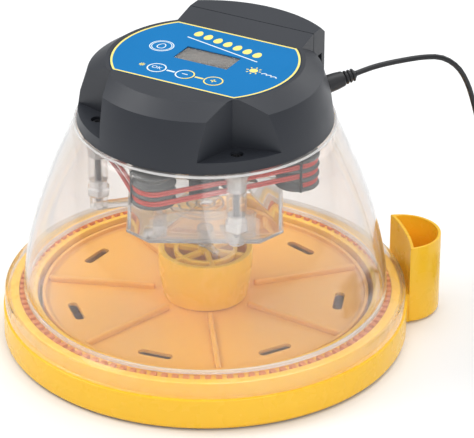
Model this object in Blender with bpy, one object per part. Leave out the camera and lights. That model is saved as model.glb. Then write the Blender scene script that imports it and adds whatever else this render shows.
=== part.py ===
"""A seven-egg tabletop incubator, modelled as the assembly it would come apart into.

The base tub stands on the table with its underside centre at the origin, +Z up, the
control panel reading from -Y. Dimensions are in millimetres and are scaled to metres
when a mesh is made. Angles are in degrees, measured from +X towards +Y.
"""

import math

import bmesh
import bpy
from mathutils import Matrix, Vector

MM = 0.001
GAP = 0.3
ROUND_STEPS = 40

# Driving dimensions
BASE_RADIUS = 125.0
RIM_TOP = 30.0
LEDGE_TOP = 20.6
FLOOR_TOP = 5.2
INNER_WALL_RADIUS = 103.8
POST_OUTER_RADIUS = 8.0
WALL = 2.2

SKIRT_RADIUS = 124.0
SKIRT_BOTTOM = 21.1
FLANGE_TOP = 32.3
DOME_FOOT_RADIUS = 112.3
DOME_TOP_RADIUS = 78.3
DOME_TOP = 145.3
DOME_SWELL = 1.65
DOME_WALL = 2.0
LIP_TOP = 143.1
LIP_BOTTOM = 141.0
LIP_INNER_RADIUS = 58.0

HEAD_BOTTOM = 145.6
HEAD_BOTTOM_RADIUS = 77.8
HEAD_WAIST_RADIUS = 75.6
CREASE_HEIGHT = 176.0
CREASE_RADIUS = 71.0
PANEL_HEIGHT = 183.6
PANEL_RADIUS = 60.0
OVERLAY_BOTTOM = 183.3
OVERLAY_TOP = 183.7
PLATE_RADIUS = 74.8
REAR_HALF_WIDTH = 43.0
REAR_RADIUS = 84.0
REAR_TOP = 187.0
VENT_SIZE = (12.0, 5.0, 9.0)
VENT_HEIGHT = 165.5
RAMP_FOOT = 42.0
RAMP_HEAD = 57.5
REAR_CHAMFER = 4.2

POCKET_FLOOR = 152.5
POCKET_APEX = 58.0
POCKET_WALL_ANGLE = 61.0
POST_RADIUS = 67.0
POST_ANGLES = {"front_right": -45.0, "front_left": -135.0, "rear_right": 62.0, "rear_left": 118.0}

LABEL_RADIUS = 57.3
LABEL_HALF_DEPTH = 40.0
LCD_SIZE = (36.5, 18.0)
LCD_CENTRE_Y = 2.0
KEY_RADIUS = 6.2
KEY_Y = -25.0
KEY_X = {"ok": -19.2, "minus": 0.0, "plus": 19.2}
KEY_TOP = 184.0
KEY_STEM_BOTTOM = 177.2
KEY_CAP_BOTTOM = 181.6
SWITCH_TOP = 176.4

BOARD_BOTTOM = 171.4
BOARD_TOP = 173.0
BOARD_SIZE = (84.0, 66.0)
BOARD_SCREW = (38.0, 29.0)

CELLS = 7
FIRST_CELL = -30.6
DISC_RADIUS = 101.0
DISC_TOP = 25.0
DISC_SKIRT_BOTTOM = 17.0
SLOT_RADIUS = 83.0
HUB_RADIUS = 29.0
HUB_TOP = 57.0
SPOKES = 6
FIRST_SPOKE = -50.0

FAN_Y = 27.0
GUARD_BOTTOM = 84.0
GUARD_TOP = 86.4
GUARD_REACH = 67.0
GUARD_TURN = -16.5
GUARD_PEGS = ((9.3, -47.1), (47.1, -9.3))
ARM_BOTTOM = 93.4

LOBE_RADIUS = 13.5
LOBE_OFFSET = 62.5
LOBE_BOTTOM = 116.0
LOBE_TOP = 137.5
WIRE_RADIUS = 1.4
WIRE_LEVELS = (120.6, 126.9, 133.2)
CLIP_PLACE = (25.6, -47.9, 128.5)
CLIP_SIZE = (2.4, 18.0, 20.0)

CUP_ANGLE = 41.5
CUP_HALF_ANGLE = 10.75
CUP_HALF_WIDTH = 23.7
CUP_INNER_RADIUS = 126.9
CUP_OUTER_RADIUS = 150.0
CUP_TOP = 53.0
CUP_FLOOR = 4.0

SOCKET_ANGLE = 48.0
SOCKET_HEIGHT = 154.5
SOCKET_TILT = 13.0
PLUG_BODY = 13.5
PLUG_LENGTH = 21.5

CORD_DIAMETER = 3.4
CORD_POINT_SPACING = 2.0 * CORD_DIAMETER
COIL_CENTRE = (170.0, 141.0)
COIL_MEAN_RADIUS = 19.0
COIL_THICKNESS = 11.0
COIL_HEIGHT = 11.0
TIE_ANGLE = -120.0
TIE_WIDTH = 5.0
TIE_SHEET = 1.0
ADAPTER_SIZE = (52.0, 28.0, 38.0)
ADAPTER_CENTRE = (213.5, 75.1)
ADAPTER_TURN = -56.7
RELIEF_LENGTH = 8.0
PIN_RADIUS = 2.0
PIN_LENGTH = 19.0
PIN_SPREAD = 9.5
PIN_PLACE = 6.0

# Centre line of the cord from the plug to the coil, chosen by hand.
CORD_ROUTE = (
    (64.9, 72.0, 159.6),
    (68.6, 76.5, 160.9),
    (74.5, 83.2, 162.5),
    (83.6, 93.2, 163.6),
    (94.6, 105.8, 163.6),
    (102.6, 115.4, 161.0),
    (109.0, 123.6, 153.0),
    (113.4, 129.4, 141.0),
    (117.0, 133.4, 125.0),
    (121.0, 136.4, 104.0),
    (124.6, 138.6, 80.0),
    (127.0, 140.4, 54.0),
    (128.4, 142.2, 30.0),
    (130.0, 146.2, 12.0),
    (133.4, 153.4, 3.2),
    (140.4, 161.4, 1.9),
    (150.0, 166.4, 1.9),
    (159.6, 168.4, 1.9),
    (169.0, 167.6, 1.9),
)

# Centre line from the coil's last turn to the adapter's strain relief.
TAIL_ROUTE = (
    (196.3, 145.6, 9.0),
    (197.4, 138.0, 9.2),
    (196.6, 129.6, 10.8),
    (193.4, 120.6, 14.6),
    (191.0, 113.4, 17.9),
    (191.7, 108.3, 19.0),
    (194.5, 104.02, 19.0),
)

COLOURS = {
    "yellow": ((0.93, 0.56, 0.06), 0.38, 0.0),
    "orange": ((0.90, 0.50, 0.12), 0.45, 0.0),
    "clear": ((0.86, 0.87, 0.87), 0.08, 0.0),
    "charcoal": ((0.062, 0.070, 0.085), 0.5, 0.0),
    "blue": ((0.02, 0.21, 0.55), 0.4, 0.0),
    "lcd": ((0.28, 0.24, 0.21), 0.3, 0.0),
    "rubber": ((0.03, 0.03, 0.03), 0.8, 0.0),
    "black": ((0.02, 0.02, 0.02), 0.45, 0.0),
    "grey": ((0.16, 0.165, 0.17), 0.6, 0.0),
    "red": ((0.62, 0.05, 0.04), 0.5, 0.0),
    "steel": ((0.6, 0.6, 0.62), 0.3, 1.0),
    "board": ((0.02, 0.16, 0.07), 0.5, 0.0),
    "nylon": ((0.85, 0.84, 0.80), 0.5, 0.0),
}


# Basic shapes


def material(name):
    """The Principled material of one of the finishes above, made once."""
    made = bpy.data.materials.get(name)
    if made is None:
        colour, roughness, metallic = COLOURS[name]
        made = bpy.data.materials.new(name)
        made.use_nodes = True
        shader = made.node_tree.nodes["Principled BSDF"]
        shader.inputs["Base Color"].default_value = (*colour, 1.0)
        shader.inputs["Roughness"].default_value = roughness
        shader.inputs["Metallic"].default_value = metallic
        if name == "clear":
            shader.inputs["Transmission Weight"].default_value = 0.9
    return made


def object_from(shape, name="shape"):
    """An object holding a bmesh's shape, faces turned outwards."""
    bmesh.ops.recalc_face_normals(shape, faces=shape.faces)
    mesh = bpy.data.meshes.new(name)
    shape.to_mesh(mesh)
    shape.free()
    made = bpy.data.objects.new(name, mesh)
    bpy.context.scene.collection.objects.link(made)
    return made


def polar(radius, angle):
    turn = math.radians(angle)
    return radius * math.cos(turn), radius * math.sin(turn)


def revolved(profile, steps=ROUND_STEPS, centre=(0.0, 0.0)):
    """A closed outline of (radius, height) points turned about a vertical axis."""
    shape = bmesh.new()
    rings = []
    for radius, height in profile:
        if radius < 1e-6:
            pole = shape.verts.new((centre[0] * MM, centre[1] * MM, height * MM))
            rings.append([pole] * steps)
            continue
        ring = []
        for step in range(steps):
            x, y = polar(radius, 360.0 * step / steps)
            ring.append(shape.verts.new(((centre[0] + x) * MM, (centre[1] + y) * MM, height * MM)))
        rings.append(ring)
    for ring, following in zip(rings, rings[1:] + rings[:1]):
        for step in range(steps):
            corners = [ring[step - 1], ring[step], following[step], following[step - 1]]
            distinct = list(dict.fromkeys(corners))
            if len(distinct) > 2:
                shape.faces.new(distinct)
    return object_from(shape)


def cylinder(radius, bottom, top, centre=(0.0, 0.0), steps=24):
    return revolved([(0, bottom), (radius, bottom), (radius, top), (0, top)], steps, centre)


def tube(outer, inner, bottom, top, centre=(0.0, 0.0), steps=24):
    return revolved([(inner, bottom), (outer, bottom), (outer, top), (inner, top)], steps, centre)


def prism(outline, bottom, top):
    """A vertical extrusion of an outline of (x, y) points."""
    shape = bmesh.new()
    low = [shape.verts.new((x * MM, y * MM, bottom * MM)) for x, y in outline]
    high = [shape.verts.new((x * MM, y * MM, top * MM)) for x, y in outline]
    shape.faces.new(low)
    shape.faces.new(high)
    for here in range(len(outline)):
        there = (here + 1) % len(outline)
        shape.faces.new((low[here], low[there], high[there], high[here]))
    return object_from(shape)


def block(size, centre, turn=0.0):
    """A box of the given size about a centre, turned about the vertical."""
    shape = bmesh.new()
    scaled = Matrix.Diagonal((*(side * MM for side in size), 1.0))
    spin = Matrix.Rotation(math.radians(turn), 4, "Z")
    place = Matrix.Translation(Vector(centre) * MM) @ spin @ scaled
    bmesh.ops.create_cube(shape, size=1.0, matrix=place)
    return object_from(shape)


def moved(piece, matrix):
    """The piece with a transform in millimetres applied to its mesh."""
    scaled = matrix.copy()
    scaled.translation = matrix.translation * MM
    piece.data.transform(scaled)
    return piece


def about_axis(piece, angle):
    return moved(piece, Matrix.Rotation(math.radians(angle), 4, "Z"))


def combined(body, operation, tool):
    """The body after an exact Boolean with the tool, which is used up."""
    modifier = body.modifiers.new("Boolean", "BOOLEAN")
    modifier.operation = operation
    modifier.object = tool
    bpy.context.view_layer.update()
    graph = bpy.context.evaluated_depsgraph_get()
    result = bpy.data.meshes.new_from_object(body.evaluated_get(graph))
    body.modifiers.clear()
    body.data = result
    bpy.data.objects.remove(tool)
    return body


def added(body, *tools):
    for tool in tools:
        body = combined(body, "UNION", tool)
    return body


def cut(body, *tools):
    for tool in tools:
        body = combined(body, "DIFFERENCE", tool)
    return body


def common(body, tool):
    return combined(body, "INTERSECT", tool)


def finished(piece, name, finish, sharp=40.0):
    """Names a piece, gives it its material and shades its round faces smooth."""
    piece.name = name
    piece.data.name = name
    piece.data.materials.clear()
    piece.data.materials.append(material(finish))
    piece.data.shade_smooth()
    piece.data.set_sharp_from_angle(angle=math.radians(sharp))
    return piece


# Base and its cup


def cup_outline(inset):
    """The cup's D: an arc that follows the base inside and a half ellipse outside."""
    inner = CUP_INNER_RADIUS + inset
    half = math.degrees(math.asin((CUP_HALF_WIDTH - inset) / inner))
    shoulder = inner * math.cos(math.radians(half))
    reach = CUP_OUTER_RADIUS - inset - shoulder
    width = inner * math.sin(math.radians(half))
    points = [polar(inner, CUP_ANGLE + half * step / 3) for step in range(-3, 3)]
    for step in range(15):
        turn = math.pi / 2 - math.pi * step / 15
        out = shoulder + reach * math.cos(turn)
        across = width * math.sin(turn)
        angle = CUP_ANGLE + math.degrees(math.atan2(across, out))
        points.append(polar(math.hypot(out, across), angle))
    return points


def base_tub():
    """The round water trough; its rim is a hollow channel that carries the dome."""
    tub = revolved(
        [
            (0, FLOOR_TOP), (INNER_WALL_RADIUS, FLOOR_TOP), (INNER_WALL_RADIUS, RIM_TOP), (107, RIM_TOP),
            (107, 27.4), (115, 27.4), (115, RIM_TOP), (120.6, RIM_TOP), (120.6, LEDGE_TOP),
            (BASE_RADIUS, LEDGE_TOP), (BASE_RADIUS, 2.6), (123.6, 1), (122.6, 1), (122.6, 18.4),
            (118.4, 18.4), (118.4, 25.2), (106, 25.2), (106, 3), (16, 3), (15, 0), (0, 0),
        ],
    )
    return finished(tub, "base_tub", "yellow")


def side_cup():
    """The filling cup, with the neck that joins it to the tub."""
    neck_half = CUP_HALF_ANGLE - 0.8
    near, far = BASE_RADIUS + GAP + 0.2, CUP_INNER_RADIUS + 1.1
    neck = [polar(near, CUP_ANGLE + neck_half * step / 3) for step in range(-3, 4)]
    neck += [polar(far, CUP_ANGLE - neck_half * step / 3) for step in range(-3, 4)]
    cup = added(prism(cup_outline(0.0), 1.0, CUP_TOP), prism(neck, 1.0, LEDGE_TOP))
    return finished(cut(cup, prism(cup_outline(WALL), CUP_FLOOR, CUP_TOP + 1)), "side_cup", "yellow")


def base_details():
    """The feet, the fixed pivot post and the flanged bush that the disc turns on."""
    finished(cylinder(POST_OUTER_RADIUS, FLOOR_TOP + GAP, 22.0, steps=32), "pivot_post", "yellow")
    bush = revolved(
        [
            (8.3, FLOOR_TOP + GAP), (13.0, FLOOR_TOP + GAP), (13.0, DISC_SKIRT_BOTTOM - GAP),
            (10.3, DISC_SKIRT_BOTTOM - GAP), (10.3, 21.8), (8.3, 21.8),
        ],
    )
    finished(bush, "pivot_bush", "nylon")
    for number in range(4):
        foot = cylinder(6.0, 0.0, 2.7, polar(92.0, 45.0 + 90.0 * number), 16)
        finished(foot, f"rubber_foot_{number + 1}", "rubber")


# Egg disc


def slot_outline(angle):
    """A tangential slot with round ends."""
    half_length, half_width = 8.0, 3.0
    points = []
    for end in (1, -1):
        for step in range(5):
            turn = math.radians(-90 + 45 * step)
            along = end * (half_length + half_width * math.cos(turn))
            across = SLOT_RADIUS + end * half_width * math.sin(turn)
            points.append(polar(math.hypot(along, across), angle - math.degrees(math.atan2(along, across))))
    return points


def egg_disc():
    disc = revolved(
        [
            (10.7, DISC_SKIRT_BOTTOM), (13.4, DISC_SKIRT_BOTTOM), (13.4, DISC_TOP - WALL),
            (98.8, DISC_TOP - WALL), (98.8, DISC_SKIRT_BOTTOM), (DISC_RADIUS, DISC_SKIRT_BOTTOM),
            (DISC_RADIUS, 28), (98.8, 28), (98.8, DISC_TOP), (10.7, DISC_TOP),
        ],
    )
    for cell in range(CELLS):
        angle = FIRST_CELL + 360.0 * cell / CELLS
        rib = block((66.6, 2.0, 5.2), (66.0, 0, DISC_TOP + 1.4))
        disc = added(disc, about_axis(rib, angle + 180.0 / CELLS))
        disc = cut(disc, prism(slot_outline(angle), DISC_TOP - 4, DISC_TOP + 2))
    return finished(disc, "egg_disc", "orange")


def disc_hub():
    foot = DISC_TOP + GAP
    hub = revolved(
        [(22.8, foot), (26, foot), (HUB_RADIUS, 48), (HUB_RADIUS, HUB_TOP), (25.6, HUB_TOP), (25.6, 48)],
        steps=36,
    )
    hub = added(hub, tube(19.5, 17.0, 52.5, 56, steps=36))
    for spoke in range(SPOKES):
        bar = block((26.0, 2.6, 3.5), (13.8, 0, 54.25))
        hub = added(hub, about_axis(bar, FIRST_SPOKE + 360.0 * spoke / SPOKES))
    return finished(added(hub, cylinder(4.5, 52.5, 56, steps=12)), "disc_hub", "yellow")


# Dome and what it carries


def dome_radius(height, inset=0.0):
    """Outer radius of the dome wall at a height."""
    share = max(0.0, (height - FLANGE_TOP) / (DOME_TOP - FLANGE_TOP))
    return DOME_FOOT_RADIUS - (DOME_FOOT_RADIUS - DOME_TOP_RADIUS) * share**DOME_SWELL - inset


def dome_cover():
    steps = 6
    heights = [FLANGE_TOP + (DOME_TOP - FLANGE_TOP) * step / steps for step in range(steps + 1)]
    outside = [(dome_radius(height), height) for height in heights]
    inside = [(dome_radius(height, DOME_WALL), height) for height in reversed(heights[1:-1])]
    profile = [(110.3, 30.3), (122.0, 30.3), (122.0, SKIRT_BOTTOM), (SKIRT_RADIUS, SKIRT_BOTTOM)]
    profile += [(SKIRT_RADIUS, 31.4), (123.1, FLANGE_TOP)] + outside
    profile += [(DOME_TOP_RADIUS - DOME_WALL, DOME_TOP), (DOME_TOP_RADIUS - DOME_WALL, LIP_TOP)]
    profile += [(LIP_INNER_RADIUS, LIP_TOP), (LIP_INNER_RADIUS, LIP_BOTTOM), (77.6, LIP_BOTTOM)]
    profile += [point for point in inside if point[1] < LIP_BOTTOM - 3]
    dome = revolved(profile)
    for angle in POST_ANGLES.values():
        place = polar(POST_RADIUS, angle)
        dome = added(dome, cylinder(6.0, 113.0, LIP_TOP - 0.6, place, 16))
        dome = cut(dome, cylinder(2.4, 100.0, 150.0, place, 12))
    return finished(dome, "dome_cover", "clear")


def guard_tray():
    """The clear tray under the fan and heater, hung on the four long screws."""
    corner = 10.0
    edge = [
        (GUARD_REACH - corner, -corner), (GUARD_REACH - corner, corner), (corner, GUARD_REACH - corner),
        (-corner, GUARD_REACH - corner), (corner - GUARD_REACH, corner), (corner - GUARD_REACH, -corner),
        (-corner, corner - GUARD_REACH), (corner, corner - GUARD_REACH),
    ]
    tray = prism(edge, GUARD_BOTTOM, GUARD_TOP)
    for side in range(4):
        wall = block((1.8, 66.0, 20.0), (GUARD_REACH / math.sqrt(2) - 2.0, 0, 95.4))
        tray = added(tray, about_axis(wall, 45.0 + 90.0 * side))
    for place in GUARD_PEGS:
        tray = added(tray, cylinder(4.2, GUARD_TOP - 0.6, 101.4, place, 16))
    tray = about_axis(tray, GUARD_TURN)
    for name, angle in POST_ANGLES.items():
        tray = added(tray, about_axis(block((23.6, 9.0, 1.8), (57.2, 0, ARM_BOTTOM + 1.2)), angle))
        tray = added(tray, cylinder(5.6, ARM_BOTTOM, 112.5, polar(POST_RADIUS, angle), 16))
        tray = cut(tray, cylinder(2.4, 80.0, 115.0, polar(POST_RADIUS, angle), 12))
        if name.startswith("rear"):
            tray = cut(tray, cylinder(4.0, 80.0, 99.8, polar(POST_RADIUS, angle), 12))
    tray = cut(tray, cylinder(3.4, 80.0, 90.0, steps=16))
    for hole in range(6):
        x, y = polar(12.5, 60.0 * hole)
        tray = cut(tray, cylinder(4.4, 80.0, 90.0, (x, FAN_Y + y), 12))
    return finished(tray, "guard_tray", "clear")


def head_screws():
    """Long clamp screws: the front pair goes in from the pockets, the rear pair from below."""
    for name, angle in POST_ANGLES.items():
        if name.startswith("front"):
            outline = [(0, 98), (1.9, 98), (1.9, 148.5), (3.5, 148.5), (3.5, 151), (0, 151)]
        else:
            outline = [(0, 97), (3.5, 97), (3.5, 99.5), (1.9, 99.5), (1.9, 158), (0, 158)]
        screw = revolved(outline, 12, polar(POST_RADIUS, angle))
        finished(screw, f"clamp_screw_{name}", "steel")


# Head


def pocket(apex_radius, spread=0.0):
    """A V-shaped notch that opens outwards on +X, its corner towards the axis."""
    reach = 60.0
    x, y = polar(reach, POCKET_WALL_ANGLE)
    start = apex_radius - spread
    return prism([(start, 0), (start + x, -y), (start + 90, -y), (start + 90, y), (start + x, y)],
                 POCKET_FLOOR - spread, 200.0)


def rear_block(inset, bottom):
    """The raised rear part of the head, ramped at the front and round at the back."""
    side = [
        (20, bottom), (90, bottom), (90, REAR_TOP - inset), (RAMP_HEAD, REAR_TOP - inset),
        (RAMP_FOOT, PANEL_HEIGHT - inset), (20, PANEL_HEIGHT - inset),
    ]
    shape = bmesh.new()
    half = REAR_HALF_WIDTH - inset
    left = [shape.verts.new((-half * MM, y * MM, z * MM)) for y, z in side]
    right = [shape.verts.new((half * MM, y * MM, z * MM)) for y, z in side]
    shape.faces.new(left)
    shape.faces.new(right)
    for here in range(len(side)):
        there = (here + 1) % len(side)
        shape.faces.new((left[here], left[there], right[there], right[here]))
    radius = REAR_RADIUS - inset
    round_back = revolved(
        [
            (0, bottom - 5), (radius, bottom - 5), (radius, REAR_TOP - REAR_CHAMFER - inset),
            (radius - REAR_CHAMFER, REAR_TOP - inset), (radius - REAR_CHAMFER, REAR_TOP + 2),
            (0, REAR_TOP + 2),
        ],
    )
    return common(object_from(shape), round_back)


def head_form(inset, bottom):
    """The head's solid form: a flared drum with a bevelled shoulder."""
    middle = (HEAD_BOTTOM + CREASE_HEIGHT) / 2
    return revolved(
        [
            (0, bottom), (HEAD_BOTTOM_RADIUS - inset, bottom), (HEAD_WAIST_RADIUS - inset, middle),
            (CREASE_RADIUS - inset, CREASE_HEIGHT - inset * 0.3),
            (PANEL_RADIUS - inset * 0.5, PANEL_HEIGHT - inset), (0, PANEL_HEIGHT - inset),
        ],
    )


def label_outline(radius, half_depth):
    """A circle with its front and back cut off straight."""
    limit = math.degrees(math.asin(half_depth / radius))
    right = [polar(radius, -limit + 2 * limit * step / 12) for step in range(13)]
    return right + [(-x, -y) for x, y in right]


def socket_frame():
    """Origin and direction of the DC socket, square to the head's flank."""
    flank = HEAD_BOTTOM_RADIUS - 1.9
    x, y = polar(flank, SOCKET_ANGLE)
    direction = Vector((*polar(math.cos(math.radians(SOCKET_TILT)), SOCKET_ANGLE),
                        math.sin(math.radians(SOCKET_TILT))))
    turn = direction.to_track_quat("Z", "Y").to_matrix().to_4x4()
    return Matrix.Translation(Vector((x, y, SOCKET_HEIGHT))) @ turn


def upper_casing():
    outer = added(head_form(0.0, HEAD_BOTTOM), rear_block(0.0, HEAD_BOTTOM))
    inner = added(head_form(WALL, HEAD_BOTTOM - 3), rear_block(WALL, HEAD_BOTTOM + WALL))
    for name, angle in POST_ANGLES.items():
        if name.startswith("front"):
            outer = cut(outer, about_axis(pocket(POCKET_APEX), angle))
            inner = cut(inner, about_axis(pocket(POCKET_APEX, WALL), angle))
            boss = cylinder(5.8, HEAD_BOTTOM + 0.6, POCKET_FLOOR, polar(POST_RADIUS, angle), 16)
        else:
            boss = cylinder(5.0, HEAD_BOTTOM + 0.6, 162.0, polar(POST_RADIUS, angle), 16)
            inner = cut(inner, about_axis(block((17.0, 3.0, 13.0), (75.0, 0, 153.5)), angle))
        inner = cut(inner, boss)
    casing = cut(outer, inner)
    for name, angle in POST_ANGLES.items():
        place = polar(POST_RADIUS, angle)
        casing = cut(casing, cylinder(2.4, 140.0, 159.0, place, 12))
        if name.startswith("front"):
            casing = cut(casing, cylinder(4.0, 148.2, 160.0, place, 16))
    for side in (1, -1):
        for end in (1, -1):
            place = (BOARD_SCREW[0] * side, BOARD_SCREW[1] * end)
            casing = added(casing, cylinder(3.2, BOARD_TOP + GAP, PANEL_HEIGHT - 1.0, place, 12))
            casing = cut(casing, cylinder(1.6, 170.0, 179.5, place, 12))
    recess = label_outline(LABEL_RADIUS + GAP, LABEL_HALF_DEPTH + GAP)
    casing = cut(casing, prism(recess, PANEL_HEIGHT - 0.6, 190))
    casing = cut(casing, block((*LCD_SIZE, 20), (0, LCD_CENTRE_Y, 185)))
    for x in KEY_X.values():
        casing = cut(casing, cylinder(KEY_RADIUS + 0.4, 175.0, 190.0, (x, KEY_Y), 20))
    barrel_hole = moved(cylinder(3.2, -12.0, 12.0, steps=16), socket_frame())
    vent = block(VENT_SIZE, (REAR_HALF_WIDTH, 66.0, VENT_HEIGHT))
    return finished(cut(casing, barrel_hole, vent), "upper_casing", "charcoal")


def lower_casing():
    """The plate that closes the head, drilled for the screws, spindle, fan shaft and leads."""
    outline = [polar(PLATE_RADIUS, 360.0 * step / ROUND_STEPS) for step in range(ROUND_STEPS)]
    plate = prism(outline, LIP_TOP + GAP, HEAD_BOTTOM + GAP)
    plate = cut(plate, cylinder(3.2, 140.0, 150.0, steps=16), cylinder(1.6, 140.0, 150.0, (0, FAN_Y), 12))
    for angle in POST_ANGLES.values():
        plate = cut(plate, cylinder(2.4, 140.0, 150.0, polar(POST_RADIUS, angle), 12))
    for radius, place in ((1.8, (-24, -24)), (2.6, (-30, 30))):
        plate = cut(plate, cylinder(radius, 140.0, 150.0, place, 12))
    return finished(plate, "lower_casing", "charcoal")


def panel_parts():
    overlay = prism(label_outline(LABEL_RADIUS, LABEL_HALF_DEPTH), OVERLAY_BOTTOM, OVERLAY_TOP)
    overlay = cut(overlay, block((*LCD_SIZE, 20), (0, LCD_CENTRE_Y, 185)))
    for name, x in KEY_X.items():
        overlay = cut(overlay, cylinder(KEY_RADIUS + 0.4, 175.0, 190.0, (x, KEY_Y), 20))
        key = revolved(
            [
                (0, KEY_STEM_BOTTOM), (2.0, KEY_STEM_BOTTOM), (2.0, KEY_CAP_BOTTOM),
                (KEY_RADIUS, KEY_CAP_BOTTOM), (KEY_RADIUS, OVERLAY_TOP), (5.2, KEY_TOP), (0, KEY_TOP),
            ],
            20, (x, KEY_Y),
        )
        finished(key, f"{name}_key", "blue")
        plunger = cylinder(1.7, 174.0, SWITCH_TOP, (x, KEY_Y), 12)
        switch = added(block((6, 6, 2.2), (x, KEY_Y, 174.4)), plunger)
        finished(switch, f"{name}_switch", "black")
    finished(overlay, "panel_overlay", "blue")
    width, depth = LCD_SIZE
    finished(block((width - 0.6, depth - 0.6, 2.0), (0, LCD_CENTRE_Y, 182.5)), "lcd_window", "clear")
    finished(block((width + 6, depth + 7, 7.3), (0, LCD_CENTRE_Y, 177.0)), "lcd_module", "lcd")


def control_board():
    board = block((*BOARD_SIZE, BOARD_TOP - BOARD_BOTTOM), (0, 0, (BOARD_TOP + BOARD_BOTTOM) / 2))
    for side in (1, -1):
        for end in (1, -1):
            place = (BOARD_SCREW[0] * side, BOARD_SCREW[1] * end)
            board = cut(board, cylinder(1.6, 165.0, 180.0, place, 12))
            outline = [(0, 169.4), (2.6, 169.4), (2.6, 171.1), (1.2, 171.1), (1.2, 178.5), (0, 178.5)]
            name = f"board_screw_{'right' if side > 0 else 'left'}_{'rear' if end > 0 else 'front'}"
            finished(revolved(outline, 12, place), name, "steel")
    finished(board, "control_board", "board")


# Drives, fan and heater


def drives():
    gearmotor = revolved(
        [(0, 154), (2.9, 154), (2.9, 146.2), (17, 146.2), (17, 157), (12, 157), (12, 169), (0, 169)], 32
    )
    finished(gearmotor, "turning_gearmotor", "black")
    finished(tube(13.0, 3.0, 108.0, 143.1, steps=32), "drive_housing", "black")
    finished(cylinder(2.5, 60.0, 153.5, steps=16), "drive_spindle", "steel")
    fork = revolved([(0, 58.5), (5, 58.5), (5, 71), (2.8, 71), (2.8, 59.7), (0, 59.7)], 16)
    fork = added(fork, block((26, 4.4, 1.6), (0, 0, 58.3)))
    for side in (1, -1):
        fork = added(fork, cylinder(1.8, 49.5, 58.6, (11.0 * side, 0), 12))
    finished(about_axis(fork, FIRST_SPOKE + 21.0), "drive_fork", "clear")

    fan_motor = revolved(
        [(0, 130), (1.5, 130), (1.5, 119), (11, 119), (11, LIP_TOP), (0, LIP_TOP)], 24, (0, FAN_Y)
    )
    finished(fan_motor, "fan_motor", "black")
    impeller = revolved([(0, 93), (6, 93), (6, 103), (1, 103), (1, 129.5), (0, 129.5)], 16, (0, FAN_Y))
    for blade in range(5):
        shape = block((15.0, 1.4, 12.0), (12.0, 0, 0))
        shape = moved(shape, Matrix.Rotation(math.radians(38), 4, "X"))
        shape = about_axis(shape, 72.0 * blade)
        impeller = added(impeller, moved(shape, Matrix.Translation((0, FAN_Y, 98.0))))
    finished(impeller, "fan_impeller", "black")


def heater():
    """A grey former of four grooved lobes with red heating wire wound round them."""
    profile = [(0, LOBE_BOTTOM), (LOBE_RADIUS - 1.5, LOBE_BOTTOM), (LOBE_RADIUS, LOBE_BOTTOM + 1.5)]
    for level in WIRE_LEVELS:
        profile += [(LOBE_RADIUS, level - 2.3), (LOBE_RADIUS - 3.4, level - 1.9),
                    (LOBE_RADIUS - 3.4, level + 1.9), (LOBE_RADIUS, level + 2.3)]
    profile += [(LOBE_RADIUS, LOBE_TOP), (0, LOBE_TOP)]
    former = tube(58.0, 41.0, LOBE_TOP - 0.5, 140.7, steps=32)
    for lobe in range(4):
        former = added(former, revolved(profile, 12, polar(LOBE_OFFSET, 90.0 * lobe)))
    former = added(former, block(CLIP_SIZE, CLIP_PLACE, -45.0))
    finished(former, "heater_former", "grey")

    belt = LOBE_RADIUS - 3.4 + WIRE_RADIUS + GAP
    points = []
    for turn, level in enumerate(WIRE_LEVELS):
        for lobe in range(4):
            centre = polar(LOBE_OFFSET, 90.0 * lobe)
            if turn == len(WIRE_LEVELS) - 1 and lobe == 3:
                continue
            for step in range(5):
                x, y = polar(belt, 90.0 * lobe - 45.0 + 22.5 * step)
                points.append((centre[0] + x, centre[1] + y, level))
    finished(cord(points, WIRE_RADIUS), "heater_wire", "red")

    probe = [(-24, -24, 147.5), (-24, -24, 130), (-24, -24, 112), (-24, -24, 104)]
    finished(cord(probe, 1.4), "temperature_probe", "black")


def cord(points, radius):
    """A round tube along points, as a curve with filled caps."""
    line = bpy.data.curves.new("cord", "CURVE")
    line.dimensions = "3D"
    line.bevel_depth = radius * MM
    line.bevel_resolution = 2
    line.use_fill_caps = True
    spline = line.splines.new("POLY")
    spline.points.add(len(points) - 1)
    for point, place in zip(spline.points, points):
        point.co = (*(Vector(place) * MM), 1.0)
    made = bpy.data.objects.new("cord", line)
    bpy.context.scene.collection.objects.link(made)
    graph = bpy.context.evaluated_depsgraph_get()
    mesh = bpy.data.meshes.new_from_object(made.evaluated_get(graph))
    bpy.data.objects.remove(made)
    solid = bpy.data.objects.new("cord", mesh)
    bpy.context.scene.collection.objects.link(solid)
    return solid


# Power lead


def smooth_route(route, spacing):
    """Points at an even spacing along a smooth curve through the route."""
    points = [Vector(point) for point in route]
    padded = [2 * points[0] - points[1], *points, 2 * points[-1] - points[-2]]
    fine = []
    for index in range(1, len(padded) - 2):
        before, here, there, after = padded[index - 1:index + 3]
        for step in range(20):
            t = step / 20
            fine.append(0.5 * (2 * here + (there - before) * t
                               + (2 * before - 5 * here + 4 * there - after) * t**2
                               + (3 * here - before - 3 * there + after) * t**3))
    fine.append(points[-1])
    even = [fine[0]]
    for point in fine[1:]:
        if (point - even[-1]).length >= spacing:
            even.append(point)
    if (fine[-1] - even[-1]).length < spacing / 2:
        even.pop()
    return even + [fine[-1]]


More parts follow.
